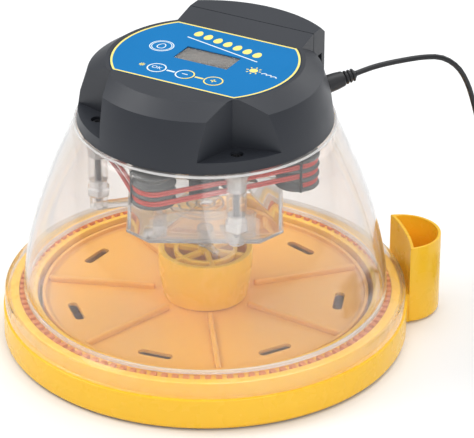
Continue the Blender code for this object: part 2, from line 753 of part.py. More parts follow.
def dc_connector():
    """The socket in the head's flank and the moulded plug that fits it, its relief ribbed."""
    frame = socket_frame()
    socket = revolved([(0, -15), (5.4, -15), (5.4, -3.0), (2.9, -3.0), (2.9, -13), (0, -13)], 16)
    finished(moved(socket, frame), "dc_socket", "black")
    outline = [(0, -10), (2.5, -10), (2.5, 0.9), (5.7, 0.9), (5.9, 2.4), (4.8, PLUG_BODY), (3.2, PLUG_BODY)]
    for rib in range(3):
        start = PLUG_BODY + 1.0 + 2.4 * rib
        outer = 3.9 - 0.3 * rib
        outline += [(2.6, start), (outer, start), (outer, start + 1.3), (2.6, start + 1.3)]
    outline += [(2.3, PLUG_LENGTH), (0, PLUG_LENGTH)]
    finished(moved(revolved(outline, 12), frame), "dc_plug", "black")


def coil_and_tie():
    """The outer shape of the wound length, waisted where the tie goes round it."""
    half = COIL_THICKNESS / 2
    inner, outer = COIL_MEAN_RADIUS - half, COIL_MEAN_RADIUS + half
    low, high = 1.5, COIL_HEIGHT - 1.5
    coil = revolved(
        [(inner, low), (inner + low, 0), (outer - low, 0), (outer, low), (outer, high),
         (outer - low, COIL_HEIGHT), (inner + low, COIL_HEIGHT), (inner, high)],
        32, COIL_CENTRE,
    )
    x, y = polar(COIL_MEAN_RADIUS, TIE_ANGLE)
    place = (COIL_CENTRE[0] + x, COIL_CENTRE[1] + y)
    notch = block((COIL_THICKNESS + 4, TIE_WIDTH + 1, 2 * (TIE_SHEET + GAP)), (*place, 0), TIE_ANGLE)
    finished(cut(coil, notch), "cord_coil", "black")
    opening = (COIL_THICKNESS + 1.0, TIE_WIDTH + 2, COIL_HEIGHT - TIE_SHEET + 0.4)
    middle = (*place, TIE_SHEET + opening[2] / 2)
    band = (opening[0] + 2 * TIE_SHEET, TIE_WIDTH, opening[2] + 2 * TIE_SHEET)
    finished(cut(block(band, middle, TIE_ANGLE), block(opening, middle, TIE_ANGLE)), "coil_tie", "black")


def power_adapter():
    """A two-pin adapter lying on its edge, its pins towards the base and its strain relief to the coil."""
    length, width, height = ADAPTER_SIZE
    adapter = block(ADAPTER_SIZE, (0, 0, height / 2))
    sideways = Matrix.Rotation(math.radians(90), 4, "X")
    for side in (1, -1):
        start = Matrix.Translation((PIN_PLACE, 1 - width / 2, height / 2 + PIN_SPREAD * side))
        adapter = added(adapter, moved(cylinder(PIN_RADIUS, 0, PIN_LENGTH + 1, steps=12), start @ sideways))
    relief = revolved([(0, 0), (2.6, 0), (3.8, RELIEF_LENGTH + 1), (0, RELIEF_LENGTH + 1)], 12)
    lengthways = Matrix.Rotation(math.radians(90), 4, "Y")
    start = Matrix.Translation((-length / 2 - RELIEF_LENGTH, 0, height / 2))
    adapter = added(adapter, moved(relief, start @ lengthways))
    turn = Matrix.Rotation(math.radians(ADAPTER_TURN), 4, "Z")
    finished(moved(adapter, Matrix.Translation((*ADAPTER_CENTRE, 0)) @ turn), "power_adapter", "black")


def power_lead():
    for name, route in (("cord_run", CORD_ROUTE), ("cord_tail", TAIL_ROUTE)):
        line = smooth_route(route, CORD_POINT_SPACING)
        finished(cord(line, CORD_DIAMETER / 2), name, "black")


def main():
    for existing in list(bpy.data.objects):
        bpy.data.objects.remove(existing)
    base_tub()
    side_cup()
    base_details()
    egg_disc()
    disc_hub()
    dome_cover()
    guard_tray()
    head_screws()
    upper_casing()
    lower_casing()
    panel_parts()
    control_board()
    drives()
    heater()
    dc_connector()
    coil_and_tie()
    power_adapter()
    power_lead()


main()
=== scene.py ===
"""The looks of the egg incubator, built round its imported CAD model.

Lengths are millimetres here and become metres in the meshes. The frame is the
CAD's: +Z up through the turning axis, the panel reading from -Y. Angles are in
degrees from +X towards +Y.
"""

import math

import bmesh
import bpy
from mathutils import Matrix, Vector


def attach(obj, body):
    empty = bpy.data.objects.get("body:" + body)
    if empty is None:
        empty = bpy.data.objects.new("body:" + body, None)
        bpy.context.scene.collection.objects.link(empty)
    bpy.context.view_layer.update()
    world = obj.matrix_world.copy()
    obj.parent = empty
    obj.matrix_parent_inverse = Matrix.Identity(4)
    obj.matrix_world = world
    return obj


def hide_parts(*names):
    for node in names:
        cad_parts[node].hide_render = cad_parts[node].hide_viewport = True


MM = 0.001
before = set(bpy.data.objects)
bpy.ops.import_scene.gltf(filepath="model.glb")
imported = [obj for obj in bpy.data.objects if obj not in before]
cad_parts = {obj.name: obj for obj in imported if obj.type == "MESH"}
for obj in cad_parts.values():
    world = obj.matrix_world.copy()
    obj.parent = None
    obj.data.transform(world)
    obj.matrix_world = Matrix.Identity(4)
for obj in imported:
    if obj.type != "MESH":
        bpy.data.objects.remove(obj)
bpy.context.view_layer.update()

CAMERA_PLACE = (846.4, -1515.2, 988.9)
CAMERA_AZIMUTH = 28.55
CAMERA_ELEVATION = 27.75
CAMERA_ROLL = 0.3
CAMERA_LENS = 243.0

RIM_TOP = 30.0
LEDGE_TOP = 20.6
BASE_RADIUS = 125.0
TEETH = 108

DOME_TOP = 145.3
FLANGE_TOP = 32.3
DOME_FOOT_RADIUS = 112.3
DOME_TOP_RADIUS = 78.3
DOME_SWELL = 1.65
DOME_WALL = 2.0

HEAD_BOTTOM = 145.6
HEAD_BOTTOM_RADIUS = 77.8
CREASE = (71.0, 176.0)
PANEL = (60.0, 183.6)
CASING_WALL = 2.2
REAR_HALF_WIDTH = 43.0
REAR_RADIUS = 84.0
REAR_TOP = 187.0
RAMP = (42.0, 57.5)
VENT_SIZE = (12.0, 5.0, 9.0)
VENT_HEIGHT = 165.5
POCKET_FLOOR = 152.5
POCKET_APEX = 58.0
POCKET_WALL_ANGLE = 61.0
POST_RADIUS = 67.0
POST_ANGLES = {"front_right": -45.0, "front_left": -135.0, "rear_right": 62.0, "rear_left": 118.0}

LABEL_RADIUS = 57.3
LABEL_HALF_DEPTH = 40.0
LABEL_TOP = 183.7
PRINT_THICKNESS = 0.06
LCD_SIZE = (36.5, 18.0)
LCD_CENTRE_Y = 2.0
KEY_RADIUS = 6.2
KEY_Y = -25.0
KEY_X = {"ok": -19.2, "minus": 0.0, "plus": 19.2}
KEY_TOP = 184.0

CELLS = 7
DISC_TOP = 25.0
FIRST_CELL = -30.6
SLOT_RADIUS = 83.0
SPOKES = 6
FIRST_SPOKE = -50.0
FAN_Y = 27.0
MOTOR_TOP = 143.1

GUARD_BOTTOM = 84.0
GUARD_TOP = 86.4
GUARD_REACH = 67.0
GUARD_TURN = -16.5
GUARD_PEGS = ((9.3, -47.1), (47.1, -9.3))
ARM_BOTTOM = 93.4

LOBE_RADIUS = 13.5
LOBE_OFFSET = 62.5
LOBE_BOTTOM = 116.0
LOBE_TOP = 137.5
WIRE_LEVELS = (120.6, 126.9, 133.2)
CLIP_PLACE = (25.6, -47.9, 128.5)
CLIP_SIZE = (2.4, 18.0, 20.0)

CUP_ANGLE = 41.5
CUP_HALF_ANGLE = 10.75
CUP_HALF_WIDTH = 23.7
CUP_INNER_RADIUS = 126.9
CUP_OUTER_RADIUS = 150.0
CUP_TOP = 53.0
CUP_WALL = 2.2

SOCKET_ANGLE = 48.0
SOCKET_HEIGHT = 154.5
SOCKET_TILT = 13.0
PLUG_LENGTH = 21.5

CORD_DIAMETER = 3.4
COIL_CENTRE = (170.0, 141.0)
COIL_MEAN_RADIUS = 19.0
COIL_STEP = 3.5
COIL_LOWEST = 1.95
TIE_ANGLE = -120.0
ADAPTER_SIZE = (52.0, 28.0, 38.0)
ADAPTER_CENTRE = (213.5, 75.1)
ADAPTER_TURN = -56.7
PIN_PLACE = 6.0
PIN_SPREAD = 9.5

# Centre lines of the two stretches of lead that aren't coiled, as in the CAD.
CORD_ROUTE = (
    (64.9, 72.0, 159.6), (68.6, 76.5, 160.9), (74.5, 83.2, 162.5),
    (83.6, 93.2, 163.6), (94.6, 105.8, 163.6), (102.6, 115.4, 161.0),
    (109.0, 123.6, 153.0), (113.4, 129.4, 141.0), (117.0, 133.4, 125.0),
    (121.0, 136.4, 104.0), (124.6, 138.6, 80.0), (127.0, 140.4, 54.0),
    (128.4, 142.2, 30.0), (130.0, 146.2, 12.0), (133.4, 153.4, 3.2),
    (140.4, 161.4, 1.9), (150.0, 166.4, 1.9), (159.6, 168.4, 1.9),
    (169.0, 167.6, 1.9),
)
TAIL_ROUTE = (
    (196.3, 145.6, 9.0), (197.4, 138.0, 9.2), (196.6, 129.6, 10.8),
    (193.4, 120.6, 14.6), (191.0, 113.4, 17.9), (191.7, 108.3, 19.0),
    (194.5, 104.02, 19.0),
)


# Geometry helpers


def polar(radius, angle):
    turn = math.radians(angle)
    return radius * math.cos(turn), radius * math.sin(turn)


def linked(name, data):
    made = bpy.data.objects.new(name, data)
    bpy.context.scene.collection.objects.link(made)
    return made


def object_from(shape, name="shape"):
    bmesh.ops.recalc_face_normals(shape, faces=shape.faces)
    mesh = bpy.data.meshes.new(name)
    shape.to_mesh(mesh)
    shape.free()
    return linked(name, mesh)


def rounded(outline, radius, steps=3):
    """The closed outline with its corners rounded, as far as the sides allow."""
    points = [Vector(point) for point in outline]
    result = []
    for index, corner in enumerate(points):
        before = points[index - 1] - corner
        after = points[(index + 1) % len(points)] - corner
        if before.length < 1e-6 or after.length < 1e-6:
            continue
        bend = before.angle(after)
        if corner.x < 1e-6 or bend > math.radians(172):
            result.append(tuple(corner))
            continue
        reach = min(radius / math.tan(bend / 2), 0.45 * before.length, 0.45 * after.length)
        start = corner + before.normalized() * reach
        end = corner + after.normalized() * reach
        for step in range(steps + 1):
            t = step / steps
            result.append(tuple(start * (1 - t) ** 2 + corner * 2 * t * (1 - t) + end * t**2))
    return result


def lathe(profile, steps=128, centre=(0.0, 0.0), radius=0.0):
    """A closed outline of (radius, height) points turned about a vertical axis."""
    if radius:
        profile = rounded(profile, radius)
    shape = bmesh.new()
    rings = []
    for across, height in profile:
        if across < 1e-6:
            rings.append([shape.verts.new((centre[0] * MM, centre[1] * MM, height * MM))] * steps)
            continue
        ring = []
        for step in range(steps):
            x, y = polar(across, 360.0 * step / steps)
            ring.append(shape.verts.new(((centre[0] + x) * MM, (centre[1] + y) * MM, height * MM)))
        rings.append(ring)
    for ring, following in zip(rings, rings[1:] + rings[:1]):
        for step in range(steps):
            corners = [ring[step - 1], ring[step], following[step], following[step - 1]]
            distinct = list(dict.fromkeys(corners))
            if len(distinct) > 2:
                shape.faces.new(distinct)
    return object_from(shape)


def cylinder(radius, bottom, top, centre=(0.0, 0.0), steps=48, edge=0.0):
    return lathe([(0, bottom), (radius, bottom), (radius, top), (0, top)], steps, centre, edge)


def ring(outer, inner, bottom, top, centre=(0.0, 0.0), steps=96, edge=0.0):
    return lathe([(inner, bottom), (outer, bottom), (outer, top), (inner, top)], steps, centre, edge)


def skinned(loops, closed=False):
    """A skin through loops of as many points: capped at both ends, or closed on itself."""
    shape = bmesh.new()
    rows = [[shape.verts.new((x * MM, y * MM, z * MM)) for x, y, z in loop] for loop in loops]
    if closed:
        rows.append(rows[0])
    else:
        shape.faces.new(rows[0])
        shape.faces.new(rows[-1])
    for one, other in zip(rows, rows[1:]):
        for here in range(len(one)):
            there = (here + 1) % len(one)
            shape.faces.new((one[here], one[there], other[there], other[here]))
    return object_from(shape)


def at_height(outline, height):
    return [(x, y, height) for x, y in outline]


def prism(outline, bottom, top):
    return skinned([at_height(outline, bottom), at_height(outline, top)])


def band(outer, inner, bottom, top):
    """A prism between two outlines that have as many points."""
    return skinned([at_height(outer, bottom), at_height(outer, top), at_height(inner, top),
                    at_height(inner, bottom)], closed=True)


def block(size, centre, turn=0.0, edge=0.0):
    shape = bmesh.new()
    scaled = Matrix.Diagonal((*(side * MM for side in size), 1.0))
    place = Matrix.Translation(Vector(centre) * MM) @ rotation(turn)
    bmesh.ops.create_cube(shape, size=1.0, matrix=place @ scaled)
    if edge:
        bmesh.ops.bevel(shape, geom=shape.edges[:], offset=edge * MM, segments=3, affect="EDGES",
                        profile=0.5)
    return object_from(shape)


def moved(piece, matrix):
    scaled = matrix.copy()
    scaled.translation = matrix.translation * MM
    piece.data.transform(scaled)
    return piece


def rotation(angle, axis="Z"):
    return Matrix.Rotation(math.radians(angle), 4, axis)


def about_axis(piece, angle):
    return moved(piece, rotation(angle))


def around(shape, count, first, *sizes, **options):
    """As many of a shape as asked, evenly about the turning axis."""
    return [about_axis(shape(*sizes, **options), first + 360.0 * step / count) for step in range(count)]


def joined(*parts):
    """One object holding all the parts' meshes, not united."""
    shape = bmesh.new()
    for part in parts:
        shape.from_mesh(part.data)
        bpy.data.objects.remove(part)
    mesh = bpy.data.meshes.new("joined")
    shape.to_mesh(mesh)
    shape.free()
    return linked("joined", mesh)


def evaluated(piece):
    """A mesh of the piece as its modifiers, curve or text make it."""
    graph = bpy.context.evaluated_depsgraph_get()
    return bpy.data.meshes.new_from_object(piece.evaluated_get(graph))


def applied(piece):
    """The piece with its modifiers made part of its mesh."""
    result = evaluated(piece)
    piece.modifiers.clear()
    piece.data = result
    return piece


def combined(body, operation, tool):
    modifier = body.modifiers.new("Boolean", "BOOLEAN")
    modifier.operation = operation
    modifier.object = tool
    applied(body)
    bpy.data.objects.remove(tool)
    return body


def added(body, *tools):
    for tool in tools:
        body = combined(body, "UNION", tool)
    return body


def cut(body, *tools):
    for tool in tools:
        body = combined(body, "DIFFERENCE", tool)
    return body


def softened(piece, width, angle=25.0, segments=2):
    """The piece with its sharp edges bevelled."""
    modifier = piece.modifiers.new("Bevel", "BEVEL")
    modifier.width = width * MM
    modifier.segments = segments
    modifier.limit_method = "ANGLE"
    modifier.angle_limit = math.radians(angle)
    modifier.use_clamp_overlap = True
    return applied(piece)


def tube_along(points, radius, name="tube", sides=6):
    """A curve with a round section and closed ends along points in millimetres."""
    line = bpy.data.curves.new(name, "CURVE")
    line.dimensions = "3D"
    line.bevel_depth = radius * MM
    line.bevel_resolution = sides
    line.use_fill_caps = True
    spline = line.splines.new("POLY")
    spline.points.add(len(points) - 1)
    for point, place in zip(spline.points, points):
        point.co = (*(Vector(place) * MM), 1.0)
    spline.use_smooth = True
    return linked(name, line)


def as_mesh(source):
    """A mesh object in place of a curve or a text."""
    mesh = evaluated(source)
    mesh.transform(source.matrix_world)
    bpy.data.objects.remove(source)
    return linked("solid", mesh)


def smooth_route(route, spacing):
    """Points at an even spacing along a smooth curve through the route."""
    points = [Vector(point) for point in route]
    padded = [2 * points[0] - points[1], *points, 2 * points[-1] - points[-2]]
    fine = []
    for index in range(1, len(padded) - 2):
        before, here, there, after = padded[index - 1:index + 3]
        for step in range(20):
            t = step / 20
            fine.append(0.5 * (2 * here + (there - before) * t
                               + (2 * before - 5 * here + 4 * there - after) * t**2
                               + (3 * here - before - 3 * there + after) * t**3))
    fine.append(points[-1])
    even = [fine[0]]
    for point in fine[1:]:
        if (point - even[-1]).length >= spacing:
            even.append(point)
    if (fine[-1] - even[-1]).length < spacing / 2:
        even.pop()
    return even + [fine[-1]]


def placed(piece, name, body, slot, finish, *nodes, sharp=35.0, even=False):
    """Names a piece, gives it its material, and ties it to its body and CAD nodes; the slot it is given is
    not used.

    An even piece has its flat faces shaded flat and its bevels smooth.
    """
    piece.name = name
    piece.data.name = name
    piece.data.materials.clear()
    piece.data.materials.append(finish)
    if piece.type == "MESH":
        piece.data.shade_smooth()
        piece.data.set_sharp_from_angle(angle=math.radians(sharp))
    if even:
        weighted = piece.modifiers.new("Weighted Normal", "WEIGHTED_NORMAL")
        weighted.keep_sharp = True
        weighted.weight = 80
    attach(piece, body)
    if nodes:
        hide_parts(*nodes)
    return piece


# Materials


def shader_of(name):
    made = bpy.data.materials.new(name)
    made.use_nodes = True
    return made, made.node_tree, made.node_tree.nodes["Principled BSDF"]


def link(output, socket):
    socket.id_data.links.new(output, socket)


def fill(node, values):
    for name, value in values.items():
        node.inputs[name].default_value = value


def new_node(tree, kind, values=None):
    """A new shader node with some of its inputs set."""
    made = tree.nodes.new(f"ShaderNode{kind}")
    fill(made, values or {})
    return made


def noise(tree, scale, detail=3.0, stretch=None):
    """A noise in the object's own metres; stretch gives it a direction."""
    source = new_node(tree, "TexCoord").outputs["Object"]
    if stretch:
        mapping = new_node(tree, "Mapping", {"Scale": stretch})
        link(source, mapping.inputs["Vector"])
        source = mapping.outputs["Vector"]
    made = new_node(tree, "TexNoise", {"Scale": scale, "Detail": detail})
    link(source, made.inputs["Vector"])
    return made.outputs["Fac"]


def between(tree, factor, low, high):
    """A number that goes from low to high as the factor goes from 0.3 to 0.7."""
    made = new_node(tree, "MapRange", {"From Min": 0.3, "From Max": 0.7, "To Min": low, "To Max": high})
    link(factor, made.inputs["Value"])
    return made.outputs["Result"]


def blended(tree, factor, one, other):
    made = tree.nodes.new("ShaderNodeMix")
    made.data_type = "RGBA"
    made.inputs[6].default_value = (*one, 1.0)
    made.inputs[7].default_value = (*other, 1.0)
    link(factor, made.inputs[0])
    return made.outputs[2]


def bumped(tree, shader, height, strength, depth):
    bump = new_node(tree, "Bump", {"Strength": strength, "Distance": depth * MM})
    link(height, bump.inputs["Height"])
    link(bump.outputs["Normal"], shader.inputs["Normal"])


def clouded(tree, shader, factor, one, other):
    """Gives the shader a colour that goes from one to the other with the factor."""
    link(blended(tree, between(tree, factor, 0.0, 1.0), one, other), shader.inputs["Base Color"])


def mixed(tree, share, one, other):
    """A mix of two shaders."""
    made = new_node(tree, "MixShader")
    link(share, made.inputs["Fac"])
    link(one.outputs[0], made.inputs[1])
    link(other.outputs[0], made.inputs[2])
    return made


def plastic(name, colour, shade, roughness, grain=900.0, strength=0.12, depth=0.05, coat=0.0, glow=0.0,
            shine=0.5):
    """Moulded plastic: faint clouds of colour, uneven gloss and a fine grain."""
    made, tree, shader = shader_of(name)
    clouded(tree, shader, noise(tree, 22.0), colour, shade)
    link(between(tree, noise(tree, 60.0), roughness - 0.02, roughness + 0.03), shader.inputs["Roughness"])
    bumped(tree, shader, noise(tree, grain, 2.0), strength, depth)
    fill(shader, {"Specular IOR Level": shine, "Coat Weight": coat, "Coat Roughness": 0.12})
    if glow:
        fill(shader, {"Subsurface Weight": glow, "Subsurface Radius": (1.0, 0.6, 0.2),
                      "Subsurface Scale": 4.0 * MM})
    return made


def metal(name, colour, roughness):
    made, tree, shader = shader_of(name)
    shader.inputs["Metallic"].default_value = 1.0
    streaks = noise(tree, 400.0, 4.0, (1.0, 1.0, 12.0))
    clouded(tree, shader, streaks, colour, tuple(0.7 * part for part in colour))
    link(between(tree, streaks, roughness, roughness + 0.15), shader.inputs["Roughness"])
    bumped(tree, shader, streaks, 0.1, 0.03)
    return made


def clear(name, tint, haze, gloss=0.05, straight=1.03):
    """Thin clear moulding: nearly unbent light, gloss that grows towards its edges, a little haze."""
    made, tree, shader = shader_of(name)
    fill(shader, {"Base Color": (*tint, 1.0), "Transmission Weight": 1.0, "IOR": straight,
                  "Roughness": 0.0})

    facing = new_node(tree, "LayerWeight", {"Blend": 0.5})
    edge = new_node(tree, "Math", {1: 3.0})
    edge.operation = "POWER"
    link(facing.outputs["Facing"], edge.inputs[0])
    share = new_node(tree, "MapRange", {"To Min": 0.035, "To Max": 0.75})
    link(edge.outputs["Value"], share.inputs["Value"])

    shine = new_node(tree, "BsdfPrincipled", {"Base Color": (0.80, 0.79, 0.78, 1.0), "Metallic": 1.0})
    link(between(tree, noise(tree, 30.0), gloss, gloss + 0.06), shine.inputs["Roughness"])
    bumped(tree, shine, noise(tree, 40.0, 2.0), 0.12, 0.4)
    shiny = mixed(tree, share.outputs["Result"], shader, shine)

    milk = new_node(tree, "BsdfDiffuse", {"Color": (0.85, 0.84, 0.83, 1.0)})
    clouds = noise(tree, 14.0, 3.0, (1.0, 1.0, 0.25))
    hazy = mixed(tree, between(tree, clouds, 0.5 * haze, 1.5 * haze), shiny, milk)

    through = new_node(tree, "BsdfTransparent", {"Color": (*tint, 1.0)})
    path = new_node(tree, "LightPath")
    whole = mixed(tree, path.outputs["Is Shadow Ray"], hazy, through)
    link(whole.outputs[0], tree.nodes["Material Output"].inputs["Surface"])
    return made


def display(name):
    """An unlit reflective display: bronze grey with a faint grid of cells."""
    made, tree, shader = shader_of(name)
    clouds = noise(tree, 55.0, 2.0, (1.0, 2.0, 1.0))
    clouded(tree, shader, clouds, (0.130, 0.112, 0.096), (0.108, 0.110, 0.104))
    place = new_node(tree, "TexCoord")
    lines = new_node(tree, "TexBrick", {"Scale": 330.0, "Mortar Size": 0.06})
    lines.offset = 0.0
    link(place.outputs["Object"], lines.inputs["Vector"])
    bumped(tree, shader, lines.outputs["Fac"], 0.15, 0.05)
    fill(shader, {"Roughness": 0.25, "Coat Weight": 0.2})
    return made


YELLOW = plastic("yellow_moulding", (0.990, 0.565, 0.030), (0.988, 0.555, 0.028), 0.27, coat=0.10,
                 glow=0.12, shine=0.35)
# Painted shade: the egg disc is the same yellow moulding as the base, coloured darker and more orange for
# the dimmer light it gets under the dome.
DISC_SHADED_YELLOW = plastic("disc_yellow_painted_shade", (0.850, 0.410, 0.052), (0.835, 0.395, 0.048), 0.34, coat=0.15,
                 glow=0.12)
TOOTH = plastic("tooth_shadow_orange", (0.740, 0.235, 0.030), (0.700, 0.215, 0.026), 0.45)
CHARCOAL = plastic("charcoal_texture", (0.027, 0.030, 0.038), (0.023, 0.026, 0.033), 0.42, 2400.0, 0.35,
                   0.05, shine=0.42)
BLUE = plastic("panel_film_blue", (0.005, 0.170, 0.440), (0.004, 0.160, 0.415), 0.60, 1800.0, 0.10, 0.02,
               shine=0.12)
PRINT_YELLOW = plastic("print_yellow", (0.95, 0.80, 0.22), (0.93, 0.77, 0.20), 0.40, 1800.0, 0.08, 0.02)
PRINT_WHITE = plastic("print_white", (0.82, 0.90, 0.92), (0.78, 0.87, 0.90), 0.40, 1800.0, 0.08, 0.02)
PRINT_DARK = plastic("print_dark", (0.030, 0.040, 0.060), (0.024, 0.032, 0.050), 0.42, 1800.0, 0.08, 0.02)
BLACK = plastic("black_moulding", (0.020, 0.020, 0.022), (0.014, 0.014, 0.016), 0.42, 1500.0, 0.20, 0.04)
VINYL = plastic("black_vinyl", (0.016, 0.016, 0.018), (0.011, 0.011, 0.013), 0.36, 700.0, 0.10, 0.05)
RUBBER = plastic("foot_rubber_black", (0.025, 0.025, 0.025), (0.016, 0.016, 0.016), 0.80, 1200.0, 0.30, 0.08)
GREY = plastic("heater_former_grey", (0.112, 0.118, 0.116), (0.092, 0.098, 0.098), 0.48, 1400.0, 0.25, 0.05)
RED = plastic("silicone_red", (0.640, 0.090, 0.070), (0.560, 0.070, 0.056), 0.38, 900.0, 0.12, 0.05)
NYLON = plastic("natural_nylon", (0.800, 0.790, 0.740), (0.760, 0.750, 0.700), 0.45)
BOARD = plastic("solder_mask_green", (0.015, 0.150, 0.060), (0.020, 0.110, 0.045), 0.35, 1500.0, 0.15, 0.03)
STEEL = metal("zinc_plated_steel", (0.55, 0.55, 0.57), 0.28)
DARK_STEEL = metal("dark_screw_steel", (0.16, 0.16, 0.17), 0.35)
BRASS = metal("plated_pin", (0.75, 0.72, 0.65), 0.25)
DOME_CLEAR = clear("clear_dome", (0.925, 0.917, 0.910), 0.040)
GUARD_CLEAR = clear("clear_guard", (0.975, 0.965, 0.955), 0.10, straight=1.06)
# Milky clear plastic; on the dome's edge beads its white haze is a painted highlight standing for the bright
# rims of the clear moulding.
FROSTED_AND_HIGHLIGHT = clear("frosted_clear_and_painted_highlight", (0.985, 0.980, 0.975), 0.38, 0.10, 1.10)
WINDOW_CLEAR = clear("clear_window", (0.93, 0.92, 0.91), 0.01)
DISPLAY = display("display_bronze")


def black(piece, name, *nodes):
    """A small black moulding that goes with the dome."""
    return placed(piece, name, "dome", "black_plastic", BLACK, *nodes)


def glassy(piece, name, finish, *nodes, body="dome"):
    return placed(piece, name, body, "clear_plastic", finish, *nodes)


# Base and cup


def cup_outline(inset):
    """The cup's D: an arc that follows the base inside and a half ellipse outside."""
    inner = CUP_INNER_RADIUS + inset
    half = math.degrees(math.asin((CUP_HALF_WIDTH - inset) / inner))
    shoulder = inner * math.cos(math.radians(half))
    reach = CUP_OUTER_RADIUS - inset - shoulder
    width = inner * math.sin(math.radians(half))
    points = [polar(inner, CUP_ANGLE + half * step / 12) for step in range(-12, 12)]
    for step in range(48):
        turn = math.pi / 2 - math.pi * step / 48
        out, across = shoulder + reach * math.cos(turn), width * math.sin(turn)
        points.append(polar(math.hypot(out, across), CUP_ANGLE + math.degrees(math.atan2(across, out))))
    return points


def side_cup():
    steps = (
        (1.6, 1.0), (0.7, 1.25), (0.15, 2.1), (0.0, 3.4), (0.0, CUP_TOP - 0.7), (0.25, CUP_TOP - 0.2),
        (0.8, CUP_TOP), (CUP_WALL - 0.7, CUP_TOP), (CUP_WALL - 0.2, CUP_TOP - 0.3),
        (CUP_WALL, CUP_TOP - 0.9), (CUP_WALL + 0.3, 6.0), (CUP_WALL + 1.2, 4.5), (CUP_WALL + 2.6, 4.0),
    )
    cup = skinned([at_height(cup_outline(inset), height) for inset, height in steps])
    half = CUP_HALF_ANGLE - 0.15
    neck = [polar(BASE_RADIUS - 0.3, CUP_ANGLE + half * step / 8) for step in range(-8, 9)]
    neck += [polar(CUP_INNER_RADIUS + 0.8, CUP_ANGLE - half * step / 8) for step in range(-8, 9)]
    cup = joined(cup, prism(neck, 1.2, LEDGE_TOP - 0.1))
    placed(cup, "filling_cup", "base", "base_yellow", YELLOW, "side_cup")


def tub():
    profile = [
        (0, 5.2), (103.8, 5.2), (103.8, RIM_TOP), (107, RIM_TOP), (107, 27.4), (115, 27.4),
        (115, RIM_TOP), (120.6, RIM_TOP), (120.6, LEDGE_TOP), (BASE_RADIUS, LEDGE_TOP),
        (BASE_RADIUS, 3.0), (123.6, 1), (122.6, 1), (122.6, 18.4), (118.4, 18.4),
        (118.4, 25.2), (106, 25.2), (106, 3), (16, 3), (15, 0), (0, 0),
    ]
    made = lathe(profile, 192, radius=0.7)
    teeth = around(block, TEETH, 0.0, (4.4, 3.6, 2.6), (112.6, 0, 28.6), edge=0.35)
    placed(made, "water_tub", "base", "base_yellow", YELLOW, "base_tub")
    placed(joined(*teeth), "castellated_ring", "base", "base_yellow", TOOTH)
    side_cup()


def feet():
    for number in range(4):
        place = polar(92.0, 45.0 + 90.0 * number)
        profile = [(0, 0.3), (3.2, 0.3), (3.6, 0), (5.4, 0), (6, 0.8), (6, 2.7), (0, 2.7)]
        foot = lathe(profile, 32, place, 0.25)
        placed(foot, f"foot_pad_{number + 1}", "base", "foot_rubber", RUBBER, f"rubber_foot_{number + 1}")
    post = cylinder(8.0, 5.2, 22.0, steps=64, edge=0.8)
    placed(post, "centre_post", "base", "base_yellow", YELLOW, "pivot_post")
    profile = [(8.3, 5.5), (13.0, 5.5), (13.0, 16.7), (10.3, 16.7), (10.3, 21.8), (8.3, 21.8)]
    bush = lathe(profile, 64, radius=0.4)
    placed(bush, "flanged_bush", "base", "bush_nylon", NYLON, "pivot_bush")


# Egg disc and hub


def slot_outline(angle):
    half_length, half_width = 8.0, 3.0
    points = []
    for end in (1, -1):
        for step in range(13):
            turn = math.radians(-90 + 15 * step)
            along = end * (half_length + half_width * math.cos(turn))
            across = SLOT_RADIUS + end * half_width * math.sin(turn)
            points.append(polar(math.hypot(along, across), angle - math.degrees(math.atan2(along, across))))
    return points


def egg_disc():
    profile = [
        (10.7, 17), (13.4, 17), (13.4, 22.8), (98.8, 22.8), (98.8, 17), (101, 17),
        (101, 28), (98.8, 28), (98.4, 25.6), (96.5, DISC_TOP), (10.7, DISC_TOP),
    ]
    disc = lathe(profile, 160, radius=0.5)
    for cell in range(CELLS):
        outline = slot_outline(FIRST_CELL + 360.0 * cell / CELLS)
        disc = cut(disc, prism(outline, DISC_TOP - 5.0, DISC_TOP + 2.0))
    first_rib = FIRST_CELL + 180.0 / CELLS
    ribs = around(block, CELLS, first_rib, (66.8, 3.4, 4.6), (65.0, 0, DISC_TOP + 1.1), edge=1.2)
    disc = joined(disc, *ribs)
    # The disc's darker orange is painted shade on the yellow moulding.
    placed(disc, "seven_cell_disc", "turning_disc", "disc_orange", DISC_SHADED_YELLOW, "egg_disc")


def spoke():
    """A hub spoke, higher in the middle of its width."""
    outline = [(-1.5, 52.5), (1.5, 52.5), (1.5, 55.4), (0.7, 56.2), (-0.7, 56.2), (-1.5, 55.4)]
    return skinned([[(x, y, z) for y, z in outline] for x in (1.0, 27.4)])


def disc_hub():
    profile = [(22.8, 25.3), (26, 25.3), (28.4, 40), (29, 48), (29, 57), (25.4, 57), (25.4, 48), (24.6, 38)]
    cone = lathe(profile, 128, radius=0.6)
    inner = ring(19.6, 16.9, 52.4, 56.1, edge=0.5)
    centre = cylinder(4.6, 52.4, 56.3, edge=0.6)
    hub = joined(cone, inner, centre, *around(spoke, SPOKES, FIRST_SPOKE))
    placed(hub, "spoked_hub", "turning_disc", "base_yellow", YELLOW, "disc_hub")


# Dome and guard


def dome_radius(height, inset=0.0):
    share = max(0.0, (height - FLANGE_TOP) / (DOME_TOP - FLANGE_TOP))
    return DOME_FOOT_RADIUS - (DOME_FOOT_RADIUS - DOME_TOP_RADIUS) * share**DOME_SWELL - inset


